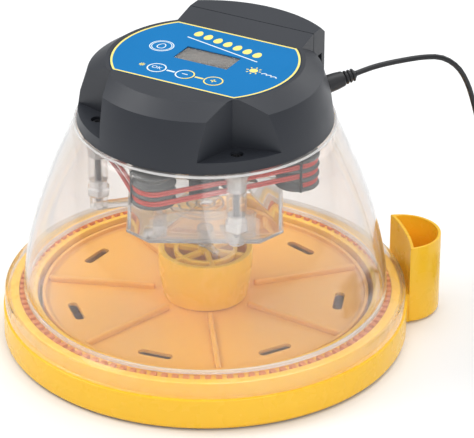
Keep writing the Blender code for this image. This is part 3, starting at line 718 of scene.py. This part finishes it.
def dome():
    steps = 28
    foot_height = FLANGE_TOP + 1.5
    heights = [foot_height + (DOME_TOP - foot_height) * step / steps for step in range(steps + 1)]
    outside = [(dome_radius(height), height) for height in heights]
    inside = [(dome_radius(height, DOME_WALL), height) for height in reversed(heights[:-2])]
    foot = [
        (111.0, 30.3), (121.6, 30.3), (122.0, 29.9), (122.0, 21.4), (122.3, 21.1), (123.7, 21.1),
        (124.0, 21.4), (124.0, 31.0), (123.5, 31.9), (122.4, FLANGE_TOP), (113.6, FLANGE_TOP),
        (112.7, FLANGE_TOP + 0.5),
    ]
    top = [
        (DOME_TOP_RADIUS - 0.6, DOME_TOP + 0.2), (DOME_TOP_RADIUS - 1.6, DOME_TOP + 0.1),
        (DOME_TOP_RADIUS - 2.0, 143.4), (DOME_TOP_RADIUS - 2.4, 143.1), (58.3, 143.1), (58.0, 142.8),
        (58.0, 141.3), (58.3, 141.0), (75.0, 141.0), (77.0, 140.4),
    ]
    post = [
        (2.4, 113.0), (5.6, 113.0), (6.0, 113.4), (6.0, 133.0), (6.6, 137.0), (8.6, 140.6),
        (8.6, 140.98), (2.4, 140.98),
    ]
    sleeve = [(2.6, 128.5), (5.2, 128.5), (5.4, 134.0), (6.2, 137.4), (8.0, 140.6), (2.6, 140.6)]
    places = [polar(POST_RADIUS, angle) for angle in POST_ANGLES.values()]
    shell = lathe(foot + outside + top + inside + [(110.4, 31.4)], 192)
    posts = [lathe(post, 40, place) for place in places]
    glassy(joined(shell, *posts), "clear_dome", DOME_CLEAR, "dome_cover")
    # Painted highlights: two milky rings at the dome's top rim and at its foot, their white haze standing
    # for the bright edges of the clear moulding.
    beads = [ring(79.6, 78.4, 143.5, 144.9, edge=0.4), ring(111.2, 109.6, 30.4, 33.2, edge=0.5)]
    glassy(joined(*beads), "dome_edge_highlight_beads", FROSTED_AND_HIGHLIGHT)
    sleeves = [lathe(sleeve, 10, place, 0.3) for place in places]
    glassy(joined(*sleeves), "post_ribs", FROSTED_AND_HIGHLIGHT)


def guard():
    reach, corner = GUARD_REACH, 10.0
    edge = [
        (reach - corner, -corner), (reach - corner, corner), (corner, reach - corner),
        (-corner, reach - corner), (corner - reach, corner), (corner - reach, -corner),
        (-corner, corner - reach), (corner, corner - reach),
    ]
    tray = about_axis(prism(edge, GUARD_BOTTOM, GUARD_TOP), GUARD_TURN)
    tray = cut(tray, cylinder(3.4, 80.0, 90.0))
    for hole in range(6):
        x, y = polar(12.5, 60.0 * hole)
        tray = cut(tray, cylinder(4.4, 80.0, 90.0, (x, FAN_Y + y), 24))
    tray = softened(tray, 0.5)
    foot = [
        (2.5, ARM_BOTTOM), (4.6, ARM_BOTTOM), (5.4, ARM_BOTTOM + 0.8), (5.4, 102.0), (2.5, 102.0),
    ]
    nut = [
        (2.5, 101.8), (5.4, 101.8), (7.4, 103.4), (7.4, 107.4), (6.0, 108.4), (6.0, 111.9), (5.4, 112.5),
        (2.5, 112.5),
    ]
    extras, bosses = [], []
    for angle in POST_ANGLES.values():
        place = polar(POST_RADIUS, angle)
        arm = block((23.6, 9.0, 1.8), (57.2, 0, ARM_BOTTOM + 1.2), edge=0.4)
        extras.append(about_axis(arm, angle))
        extras.append(lathe(foot, 36, place, 0.3))
        bosses.append(lathe(nut, 6, place, 0.4))
    extras += around(curved_wall, 4, 45.0 + GUARD_TURN)
    for place in GUARD_PEGS:
        peg = lathe([(2.6, 86.0), (4.2, 86.0), (4.2, 101.0), (3.8, 101.4), (2.6, 101.4)], 32, place, 0.3)
        extras.append(about_axis(peg, GUARD_TURN))
    glassy(joined(tray, *extras), "clear_guard_tray", GUARD_CLEAR, "guard_tray")
    glassy(joined(*bosses), "post_nuts", FROSTED_AND_HIGHLIGHT)
    rings = []
    for number in range(4):
        outer = 22.5 - 5.4 * number
        rings.append(ring(outer, outer - 1.2, GUARD_TOP, GUARD_TOP + 1.1, edge=0.3))
    glassy(joined(*rings), "guard_grille", GUARD_CLEAR)


def curved_wall():
    """A thin side wall whose top edge dips towards its ends."""
    half_length, half, foot, steps = 33.0, 0.9, 85.6, 24
    middle = GUARD_REACH / math.sqrt(2) - 2.0
    rows = []
    for step in range(steps + 1):
        along = 2.0 * step / steps - 1.0
        top = 105.4 - 6.0 * abs(along) ** 3
        section = (
            (-half, foot), (half, foot), (half, top - 0.4), (half / 2, top), (-half / 2, top),
            (-half, top - 0.4),
        )
        rows.append([(middle + x, half_length * along, z) for x, z in section])
    return skinned(rows)


def thread(radius, bottom, top, pitch=0.8):
    """A fine thread as a stack of sharp rings' outline."""
    outline = []
    height = bottom
    while height < top:
        outline += [(radius - 0.35, height), (radius, height + pitch / 2)]
        height += pitch
    return outline


def clamp_screws():
    for name, angle in POST_ANGLES.items():
        if name.startswith("front"):
            profile = [
                (0, 98), (1.6, 98), *thread(1.9, 98.4, 128.0), (1.8, 129), (1.8, 148.5), (3.5, 148.5),
                (3.5, 150.2), (3.0, 151), (1.6, 151), (1.4, 149.6), (0, 149.6),
            ]
        else:
            profile = [
                (0, 97), (3.1, 97), (3.5, 97.6), (3.5, 99.5), (1.8, 99.5), *thread(1.9, 100.0, 158.0),
                (1.4, 158), (0, 158),
            ]
        screw = lathe(profile, 24, polar(POST_RADIUS, angle))
        placed(screw, f"threaded_screw_{name}", "dome", "screw_steel", DARK_STEEL, f"clamp_screw_{name}",
               sharp=60.0)


# Head


def pocket(apex_radius, spread=0.0):
    x, y = polar(60.0, POCKET_WALL_ANGLE)
    start = apex_radius - spread
    outline = [(start, 0), (start + x, -y), (start + 90, -y), (start + 90, y), (start + x, y)]
    return prism(outline, POCKET_FLOOR - spread, 200.0)


def rear_block(inset, bottom):
    side = [
        (20, bottom), (90, bottom), (90, REAR_TOP - inset), (RAMP[1], REAR_TOP - inset),
        (RAMP[0], PANEL[1] - inset), (20, PANEL[1] - inset),
    ]
    half = REAR_HALF_WIDTH - inset
    sides = skinned([[(x, y, z) for y, z in side] for x in (-half, half)])
    radius = REAR_RADIUS - inset
    chamfer = 4.2
    round_back = lathe([
        (0, bottom - 5), (radius, bottom - 5), (radius, REAR_TOP - chamfer - inset),
        (radius - chamfer, REAR_TOP - inset), (radius - chamfer, REAR_TOP + 2), (0, REAR_TOP + 2),
    ])
    return combined(sides, "INTERSECT", round_back)


def head_form(inset, bottom):
    middle = (HEAD_BOTTOM + CREASE[1]) / 2
    return lathe([
        (0, bottom), (HEAD_BOTTOM_RADIUS - inset, bottom), (75.6 - inset, middle),
        (CREASE[0] - inset, CREASE[1] - inset * 0.3), (PANEL[0] - inset * 0.5, PANEL[1] - inset),
        (0, PANEL[1] - inset),
    ])


def label_outline(radius, half_depth, steps=48):
    limit = math.degrees(math.asin(half_depth / radius))
    right = [polar(radius, -limit + 2 * limit * step / steps) for step in range(steps + 1)]
    return right + [(-x, -y) for x, y in right]


def lcd_opening():
    return block((*LCD_SIZE, 20), (0, LCD_CENTRE_Y, 185))


def socket_frame():
    """The place of the power socket, its own Z pointing out of the casing."""
    x, y = polar(HEAD_BOTTOM_RADIUS - 1.9, SOCKET_ANGLE)
    direction = Vector((*polar(math.cos(math.radians(SOCKET_TILT)), SOCKET_ANGLE),
                        math.sin(math.radians(SOCKET_TILT))))
    turn = direction.to_track_quat("Z", "Y").to_matrix().to_4x4()
    return Matrix.Translation(Vector((x, y, SOCKET_HEIGHT))) @ turn


def head():
    outer = added(head_form(0.0, HEAD_BOTTOM), rear_block(0.0, HEAD_BOTTOM))
    outer = softened(outer, 0.45, segments=3)
    inner = added(head_form(CASING_WALL, HEAD_BOTTOM - 3),
                  rear_block(CASING_WALL, HEAD_BOTTOM + CASING_WALL))
    front_angles = [angle for name, angle in POST_ANGLES.items() if name.startswith("front")]
    for angle in front_angles:
        outer = cut(outer, about_axis(pocket(POCKET_APEX), angle))
        inner = cut(inner, about_axis(pocket(POCKET_APEX, CASING_WALL), angle))
    outer = softened(outer, 0.35, angle=32.0)
    casing = cut(outer, inner)
    for angle in front_angles:
        casing = cut(casing, cylinder(4.0, 148.2, 160.0, polar(POST_RADIUS, angle)))
    recess = label_outline(LABEL_RADIUS + 0.3, LABEL_HALF_DEPTH + 0.3)
    casing = cut(casing, prism(recess, PANEL[1] - 0.6, 190), lcd_opening())
    for x in KEY_X.values():
        casing = cut(casing, cylinder(KEY_RADIUS + 0.4, 175.0, 190.0, (x, KEY_Y)))
    casing = cut(casing, moved(cylinder(3.2, -12.0, 12.0), socket_frame()))
    casing = cut(casing, block(VENT_SIZE, (REAR_HALF_WIDTH, 66.0, VENT_HEIGHT)))
    parting = cut(block((2 * REAR_HALF_WIDTH + 1.2, 0.5, 18.0), (0, RAMP[1], 181.0)),
                  rear_block(0.5, HEAD_BOTTOM + 1.0))
    casing = cut(casing, parting)
    placed(casing, "head_casing", "dome", "charcoal_casing", CHARCOAL, "upper_casing", sharp=12.0,
           even=True)
    plate = ring(74.8, 3.2, 143.4, 145.9, steps=128, edge=0.4)
    placed(plate, "head_plate", "dome", "charcoal_casing", CHARCOAL, "lower_casing")


# Panel


def printed(mark, name, finish, body="dome"):
    return placed(mark, name, body, "panel_blue", finish)


def raised(outline):
    """The outline as a printed mark on the panel."""
    return prism(outline, LABEL_TOP, LABEL_TOP + PRINT_THICKNESS)


def egg_shape(x, y, half_width, half_height, taper=0.18, steps=40):
    """An egg's outline with its pointed end up, or an ellipse when it doesn't taper."""
    points = []
    for step in range(steps):
        turn = 2 * math.pi * step / steps
        narrowed = 1.0 - taper * math.sin(turn)
        points.append((x + half_width * narrowed * math.cos(turn), y + half_height * math.sin(turn)))
    return points


def arc_band(centre, radius, width, start, end, z=LABEL_TOP, thickness=PRINT_THICKNESS, steps=48):
    """A flat stretch of ring."""
    section = ((radius, z), (radius + width, z), (radius + width, z + thickness), (radius, z + thickness))
    rows = []
    for step in range(steps + 1):
        angle = start + (end - start) * step / steps
        row = []
        for across, height in section:
            x, y = polar(across, angle)
            row.append((centre[0] + x, centre[1] + y, height))
        rows.append(row)
    return skinned(rows)


def bar(start, end, width, z=LABEL_TOP):
    a, b = Vector(start), Vector(end)
    side = Vector((-(b - a).y, (b - a).x)).normalized() * width / 2
    outline = [tuple(a + side), tuple(a - side), tuple(b - side), tuple(b + side)]
    return prism(outline, z, z + PRINT_THICKNESS)


def lettering(words, place, size, z):
    text = bpy.data.curves.new("legend", "FONT")
    text.body = words
    text.size = size * MM
    text.align_x = "CENTER"
    text.align_y = "CENTER"
    text.extrude = PRINT_THICKNESS / 2 * MM
    made = linked("legend", text)
    made.location = Vector((*place, z + PRINT_THICKNESS / 2)) * MM
    bpy.context.view_layer.update()
    return as_mesh(made)


def edging(outer, inner, height):
    """A printed line along the label's edge, between two insets."""
    outlines = [label_outline(LABEL_RADIUS - inset, LABEL_HALF_DEPTH - inset) for inset in (outer, inner)]
    return band(*outlines, LABEL_TOP - 0.02, LABEL_TOP + height)


def panel():
    film = prism(label_outline(LABEL_RADIUS, LABEL_HALF_DEPTH), 183.3, LABEL_TOP)
    film = cut(film, lcd_opening())
    for x in KEY_X.values():
        film = cut(film, cylinder(KEY_RADIUS + 0.12, 175.0, 190.0, (x, KEY_Y)))
    placed(film, "panel_film", "dome", "panel_blue", BLUE, "panel_overlay")
    printed(edging(0.5, 1.75, 0.06), "panel_border", PRINT_YELLOW)
    printed(edging(0.0, 0.45, 0.05), "panel_rim", PRINT_DARK)
    marks()
    keys()
    window()


def marks():
    """The printed marks, all of them generic."""
    eggs = []
    for number in range(CELLS):
        eggs.append(raised(egg_shape(-21.0 + 7.6 * number, 29.6 - 1.65 * number, 2.6, 3.7)))
    printed(joined(*eggs), "egg_row_mark", PRINT_YELLOW)
    printed(bar((-25.0, 22.6), (29.0, 11.2), 0.9), "egg_row_line", PRINT_WHITE)

    middle = Vector((33.0, -0.5))
    sun = [raised(egg_shape(*middle, 2.6, 2.6, taper=0.0))]
    for ray in range(8):
        start, end = (middle + Vector(polar(radius, 45.0 * ray)) for radius in (3.4, 4.8))
        sun.append(bar(start, end, 0.8))
    printed(joined(*sun), "warmth_mark", PRINT_YELLOW)
    waves = [arc_band((41.0 + 3.4 * number, -3.0 - 0.6 * number), 1.6, 0.8, 20, 160) for number in range(3)]
    printed(joined(*waves), "moisture_mark", PRINT_WHITE)

    middle = (-32.1, 3.5)
    badge = [arc_band(middle, 7.0, 0.6, 0, 360), arc_band(middle, 5.9, 0.5, 0, 360)]
    badge.append(band(egg_shape(*middle, 2.7, 3.6), egg_shape(*middle, 2.1, 3.0), LABEL_TOP,
                      LABEL_TOP + PRINT_THICKNESS))
    printed(joined(*badge), "egg_badge", PRINT_WHITE)
    middle = Vector((-29.4, -24.7))
    star = []
    for angle in (0, 45, 90, 135):
        reach = Vector(polar(1.9, angle))
        star.append(bar(middle + reach, middle - reach, 0.55))
    printed(joined(*star), "small_star_mark", PRINT_YELLOW)
    printed(bar((-12.4, KEY_Y), (-6.8, KEY_Y), 1.5), "key_link_white", PRINT_WHITE)
    printed(bar((6.8, KEY_Y), (12.4, KEY_Y), 1.5), "key_link_yellow", PRINT_YELLOW)


def keys():
    legends = {"ok": PRINT_WHITE, "minus": PRINT_WHITE, "plus": PRINT_YELLOW}
    profile = [
        (0, 177.2), (2.0, 177.2), (2.0, 181.6), (KEY_RADIUS, 181.6), (KEY_RADIUS, 183.5),
        (KEY_RADIUS - 0.2, 183.72), (5.0, 183.9), (2.5, KEY_TOP - 0.02), (0, KEY_TOP),
    ]
    for name, x in KEY_X.items():
        middle = (x, KEY_Y)
        body = f"{name}_key"
        placed(lathe(profile, 64, middle), f"{name}_keycap", body, "panel_blue", BLUE, body)
        if name == "minus":
            arcs = ((100, 280, PRINT_WHITE, "_left"), (280, 460, PRINT_YELLOW, "_right"))
        else:
            arcs = ((0, 360, legends[name], ""),)
        for start, end, finish, side in arcs:
            arc = arc_band(middle, 5.2, 0.85, start, end, 183.74, 0.12)
            printed(arc, f"{name}_ring{side}", finish, body)
        top = KEY_TOP - 0.04
        if name == "ok":
            legend = lettering("OK", middle, 4.6, top)
        else:
            legend = bar((x - 1.9, KEY_Y), (x + 1.9, KEY_Y), 0.8, top)
        if name == "plus":
            legend = joined(legend, bar((x, KEY_Y - 1.9), (x, KEY_Y + 1.9), 0.8, top))
        printed(legend, f"{name}_legend", legends[name], body)


def window():
    width, depth = LCD_SIZE
    pane = block((width - 0.2, depth - 0.2, 0.7), (0, LCD_CENTRE_Y, 183.1), edge=0.15)
    glassy(pane, "display_window", WINDOW_CLEAR, "lcd_window")
    glass = block((width - 0.2, depth - 0.2, 1.6), (0, LCD_CENTRE_Y, 181.8), edge=0.1)
    placed(glass, "display_face", "dome", "display_grey", DISPLAY)


# Heater, fan and drives


def former():
    """Four lobes with rounded ridges under a collar, a tie on each, and a clip between two of them."""
    pitch = WIRE_LEVELS[1] - WIRE_LEVELS[0]
    profile = [(0, LOBE_BOTTOM), (LOBE_RADIUS - 2.2, LOBE_BOTTOM)]
    steps = 60
    for step in range(steps + 1):
        height = LOBE_BOTTOM + 0.7 + (LOBE_TOP - LOBE_BOTTOM - 0.7) * step / steps
        swell = math.cos(2 * math.pi * (height - WIRE_LEVELS[0]) / pitch)
        profile.append((LOBE_RADIUS - 1.3 - 1.3 * swell, height))
    profile.append((0, LOBE_TOP))
    lobes = [lathe(profile, 48, polar(LOBE_OFFSET, 90.0 * lobe)) for lobe in range(4)]
    collar = ring(58.0, 41.0, LOBE_TOP - 0.4, 140.7, edge=0.5)
    placed(joined(collar, *lobes), "lobed_former", "dome", "heater_grey", GREY, "heater_former", sharp=60.0)
    ties = []
    for lobe in range(4):
        centre = polar(LOBE_OFFSET, 90.0 * lobe)
        x, y = polar(LOBE_RADIUS + 0.1, 90.0 * lobe - 52.0)
        ties.append(block((0.9, 1.6, 21.0), (centre[0] + x, centre[1] + y, 127.0), 90.0 * lobe - 52.0, 0.2))
    black(joined(*ties), "former_ties")
    clip = block(CLIP_SIZE, CLIP_PLACE, -45.0, 0.6)
    lip = block((3.4, 18.4, 1.6), (*CLIP_PLACE[:2], 119.6), -45.0, 0.4)
    black(joined(clip, lip), "wire_clip")


def wires():
    belt = LOBE_RADIUS - 1.7
    points = []
    for turn, level in enumerate(WIRE_LEVELS):
        for lobe in range(4):
            if turn == len(WIRE_LEVELS) - 1 and lobe == 3:
                continue
            centre = polar(LOBE_OFFSET, 90.0 * lobe)
            for step in range(13):
                x, y = polar(belt, 90.0 * lobe - 45.0 + 7.5 * step)
                points.append((centre[0] + x, centre[1] + y, level + 0.4 * math.sin(0.9 * lobe + step / 6)))
    pair = []
    for offset in (-0.9, 0.9):
        pair.append(as_mesh(tube_along([(x, y, z + offset) for x, y, z in points], 0.85)))
    placed(joined(*pair), "heating_wires", "dome", "heater_red", RED, "heater_wire")


def fan():
    place = (0, FAN_Y)
    profile = [(0, 130), (1.5, 130), (1.5, 119), (11, 119), (11, MOTOR_TOP), (0, MOTOR_TOP)]
    black(lathe(profile, 64, place, 0.8), "fan_motor_can", "fan_motor")
    hub = lathe([(0, 93), (6, 93), (6, 103), (1, 103), (1, 129.5), (0, 129.5)], 48, place, 0.5)
    blades = []
    for blade in range(5):
        shape = block((15.0, 1.4, 12.0), (12.0, 0, 0), edge=0.4)
        place = Matrix.Translation((0, FAN_Y, 98.0)) @ rotation(72.0 * blade) @ rotation(38.0, "X")
        blades.append(moved(shape, place))
    placed(joined(hub, *blades), "fan_rotor", "fan", "black_plastic", BLACK, "fan_impeller")


def turning_drive():
    profile = [(3.0, 108), (11.6, 108), (13, 110), (13, MOTOR_TOP), (3.0, MOTOR_TOP)]
    housing = lathe(profile, 64, radius=0.6)
    black(housing, "drive_tube", "drive_housing")
    shaft = cylinder(2.5, 60.0, 153.5, steps=32, edge=0.3)
    glassy(shaft, "drive_shaft", GUARD_CLEAR, "drive_spindle", body="turn_drive")
    socket = lathe([(0, 58.5), (5, 58.5), (5, 71), (2.8, 71), (2.8, 59.7), (0, 59.7)], 40, radius=0.3)
    arm = block((26, 4.4, 1.6), (0, 0, 58.3), edge=0.5)
    pegs = [cylinder(1.8, 49.5, 58.0, (11.0 * side, 0), 24, 0.4) for side in (1, -1)]
    fork = about_axis(joined(socket, arm, *pegs), FIRST_SPOKE + 21.0)
    glassy(fork, "clear_fork", GUARD_CLEAR, "drive_fork", body="turn_drive")


def probe():
    place = (-24, -24)
    lead_points = [(*place, height) for height in (147.5, 112, 106)]
    tip = [(0, 104.0), (0.9, 104.1), (1.4, 105.0), (1.4, 110.0), (0.8, 112.0), (0, 112.0)]
    made = joined(as_mesh(tube_along(lead_points, 0.8)), lathe(tip, 24, place))
    black(made, "probe_lead", "temperature_probe")


# Power lead


def coil_place(cell, angle):
    """A point of the wound lead, in a cell of the coil's section."""
    column, row = cell
    x, y = polar(COIL_MEAN_RADIUS + COIL_STEP * (1 - column), angle)
    return Vector((COIL_CENTRE[0] + x, COIL_CENTRE[1] + y, COIL_LOWEST + COIL_STEP * row))


def coil_points():
    """The wound turns: each passes to the next cell of the coil's section within one short sector."""
    cells = [(-1, 0), (0, 0), (0, 1), (1, 1), (1, 0), (2, 0), (2, 1), (2, 2), (1, 2), (0, 2), (-1, 2)]
    start, sector, per_turn = 80.0, 65.0, 30
    round_steps = int(per_turn * (360 - sector) / 360)
    passing_steps = int(per_turn * sector / 360) + 1
    points = []
    for cell, following in zip(cells, cells[1:]):
        if cell != cells[0]:
            for step in range(round_steps):
                points.append(coil_place(cell, start - sector - (360 - sector) * step / round_steps))
        for step in range(passing_steps):
            share = step / passing_steps
            eased = share * share * (3 - 2 * share)
            angle = start - sector * share
            points.append(coil_place(cell, angle).lerp(coil_place(following, angle), eased))
    points.append(coil_place(cells[-1], start - sector))
    return points


def lead():
    run = smooth_route(CORD_ROUTE, 5.0)
    tail = smooth_route(TAIL_ROUTE, 4.0)
    points = run[:-1] + coil_points() + tail[1:]
    made = tube_along(points, CORD_DIAMETER / 2, "power_lead", 5)
    placed(made, "power_lead", "dome", "cord_black", VINYL, "cord_run", "cord_coil", "cord_tail")
    return made


def plug():
    place = socket_frame()
    socket = lathe([(0, -15), (5.4, -15), (5.4, -3.0), (2.9, -3.0), (2.9, -13), (0, -13)], 48, radius=0.2)
    black(moved(socket, place), "power_inlet", "dc_socket")
    profile = [
        (0, -10), (2.5, -10), (2.5, 0.9), (5.4, 0.9), (5.9, 1.5), (5.9, 2.6), (5.6, 3.2), (5.4, 8.0),
        (4.8, 12.6), (4.2, 13.5), (2.9, 13.6),
    ]
    for number in range(3):
        start = 14.1 + 2.3 * number
        outer = 4.4 - 0.15 * number
        profile += [
            (2.9, start), (outer - 0.3, start + 0.1), (outer, start + 0.7), (outer - 0.3, start + 1.4),
            (2.9, start + 1.5),
        ]
    profile += [(2.2, PLUG_LENGTH - 0.2), (1.9, PLUG_LENGTH), (0, PLUG_LENGTH)]
    made = moved(lathe(profile, 48, radius=0.15), place)
    return black(made, "moulded_plug", "dc_plug")


def tie():
    x, y = polar(COIL_MEAN_RADIUS, TIE_ANGLE)
    centre = (COIL_CENTRE[0] + x, COIL_CENTRE[1] + y, 6.0)
    outer = block((13.6, 4.6, 11.9), centre, TIE_ANGLE, 0.8)
    made = cut(outer, block((11.8, 8.0, 10.6), centre, TIE_ANGLE, 0.6))
    head = about_axis(block((3.0, 5.6, 4.0), (0, 0, 0), edge=0.6), TIE_ANGLE)
    u, v = polar(COIL_MEAN_RADIUS + 7.2, TIE_ANGLE)
    head = moved(head, Matrix.Translation((COIL_CENTRE[0] + u, COIL_CENTRE[1] + v, 6.0)))
    return black(joined(made, head), "cable_tie", "coil_tie")


def adapter():
    """A plug-in adapter on its edge: a body with a seam and a blank inset, ribbed relief, two pins."""
    length, width, height = ADAPTER_SIZE
    middle = height / 2
    body = block(ADAPTER_SIZE, (0, 0, middle), edge=2.6)
    seam = block((length + 2, 0.5, height + 2), (0, -5.0, middle))
    body = cut(body, cut(seam, block((length - 1.0, 1.0, height - 1.0), (0, -5.0, middle))))
    boss = block((17.0, 3.0, 29.0), (PIN_PLACE, 0.6 - width / 2, middle), edge=1.2)
    profile = [(0, -8.0), (2.3, -8.0), (2.6, -7.6)]
    for number in range(3):
        start = -7.0 + 2.3 * number
        outer = 3.2 + 0.3 * number
        profile += [(2.5, start), (outer, start + 0.15), (outer, start + 1.25), (2.5, start + 1.4)]
    profile += [(3.6, 0.0), (3.6, 1.5), (0, 1.5)]
    lengthways = Matrix.Translation((-length / 2, 0, middle)) @ rotation(90, "Y")
    relief = moved(lathe(profile, 40), lengthways)
    place = Matrix.Translation((*ADAPTER_CENTRE, 0)) @ rotation(ADAPTER_TURN)
    shell = black(moved(joined(body, boss, relief), place), "adapter_body", "power_adapter")
    inset = block((30.0, 0.4, 22.0), (0, width / 2 + 0.1, middle), edge=0.15)
    inset = placed(moved(inset, place), "adapter_inset", "dome", "black_plastic", VINYL)
    pins, sleeves = [], []
    for side in (1, -1):
        sideways = Matrix.Translation((PIN_PLACE, -width / 2, middle + PIN_SPREAD * side))
        sideways = sideways @ rotation(90, "X")
        pin = lathe([(0, 0), (1.85, 0), (1.85, 17.6), (1.1, 19.0), (0, 19.0)], 28, radius=0.3)
        pins.append(moved(pin, sideways))
        sleeves.append(moved(ring(2.0, 1.8, 0.5, 10.0, steps=28), sideways))
    sleeves = black(moved(joined(*sleeves), place), "adapter_pin_sleeves")
    pins = placed(moved(joined(*pins), place), "adapter_pins", "dome", "screw_steel", BRASS)
    return [shell, inset, sleeves, pins]


def power_lead():
    cord = lead()
    fitted = plug()
    band_tie = tie()
    adapter_pieces = adapter()


# Parts of the CAD that keep their own shape


def kept_nodes():
    finishes = {"control_board": BOARD, "turning_gearmotor": BLACK, "lcd_module": BLACK}
    for key in KEY_X:
        finishes[f"{key}_switch"] = BLACK
    for side in ("left", "right"):
        for end in ("front", "rear"):
            finishes[f"board_screw_{side}_{end}"] = STEEL
    for name, finish in finishes.items():
        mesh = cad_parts[name].data
        mesh.materials.clear()
        mesh.materials.append(finish)


# Studio


def studio():
    floor_shape = bmesh.new()
    bmesh.ops.create_grid(floor_shape, x_segments=1, y_segments=1, size=4.0)
    floor = object_from(floor_shape, "floor")
    made, tree, shader = shader_of("pale_floor")
    clouded(tree, shader, noise(tree, 3.0), (0.90, 0.90, 0.90), (0.89, 0.89, 0.89))
    fill(shader, {"Roughness": 0.6, "Specular IOR Level": 0.2})
    floor.data.materials.append(made)
    floor.location.z = -0.0002

    world = bpy.data.worlds.new("studio")
    bpy.context.scene.world = world
    world.use_nodes = True
    tree = world.node_tree
    back = tree.nodes["Background"]
    back.inputs["Color"].default_value = (0.97, 0.985, 1.0, 1.0)
    direction = new_node(tree, "TexCoord")
    split = new_node(tree, "SeparateXYZ")
    rise = new_node(tree, "MapRange", {"From Min": 0.1, "From Max": 0.9, "To Min": 0.28, "To Max": 0.95})
    link(direction.outputs["Generated"], split.inputs["Vector"])
    link(split.outputs["Z"], rise.inputs["Value"])
    link(rise.outputs["Result"], back.inputs["Strength"])

    lamps = (
        ("key", (-1.2, -0.5, 1.5), 1.0, 12.0),
        ("fill", (1.2, -1.3, 0.9), 1.0, 8.0),
        ("top", (0.1, 0.5, 1.9), 1.4, 10.0),
        ("back", (0.6, 1.6, 0.9), 1.2, 6.0),
    )
    for name, place, size, power in lamps:
        light = bpy.data.lights.new(name, "AREA")
        light.shape = "DISK"
        light.size = size
        light.energy = power
        lamp = linked(name, light)
        lamp.location = place
        aim = Vector((0, 0, 0.08)) - Vector(place)
        lamp.rotation_euler = aim.to_track_quat("-Z", "Y").to_euler()

    view = bpy.data.cameras.new("camera")
    view.lens = CAMERA_LENS
    view.sensor_width = 36.0
    view.clip_end = 20.0
    camera = linked("camera", view)
    camera.matrix_world = (
        Matrix.Translation(Vector(CAMERA_PLACE) * MM)
        @ rotation(CAMERA_AZIMUTH) @ rotation(90.0 - CAMERA_ELEVATION, "X") @ rotation(CAMERA_ROLL)
    )
    bpy.context.scene.camera = camera
    bpy.context.scene.view_settings.view_transform = "Standard"


studio()
power_lead()
tub()
feet()
egg_disc()
disc_hub()
dome()
guard()
clamp_screws()
head()
panel()
former()
wires()
fan()
turning_drive()
probe()
kept_nodes()
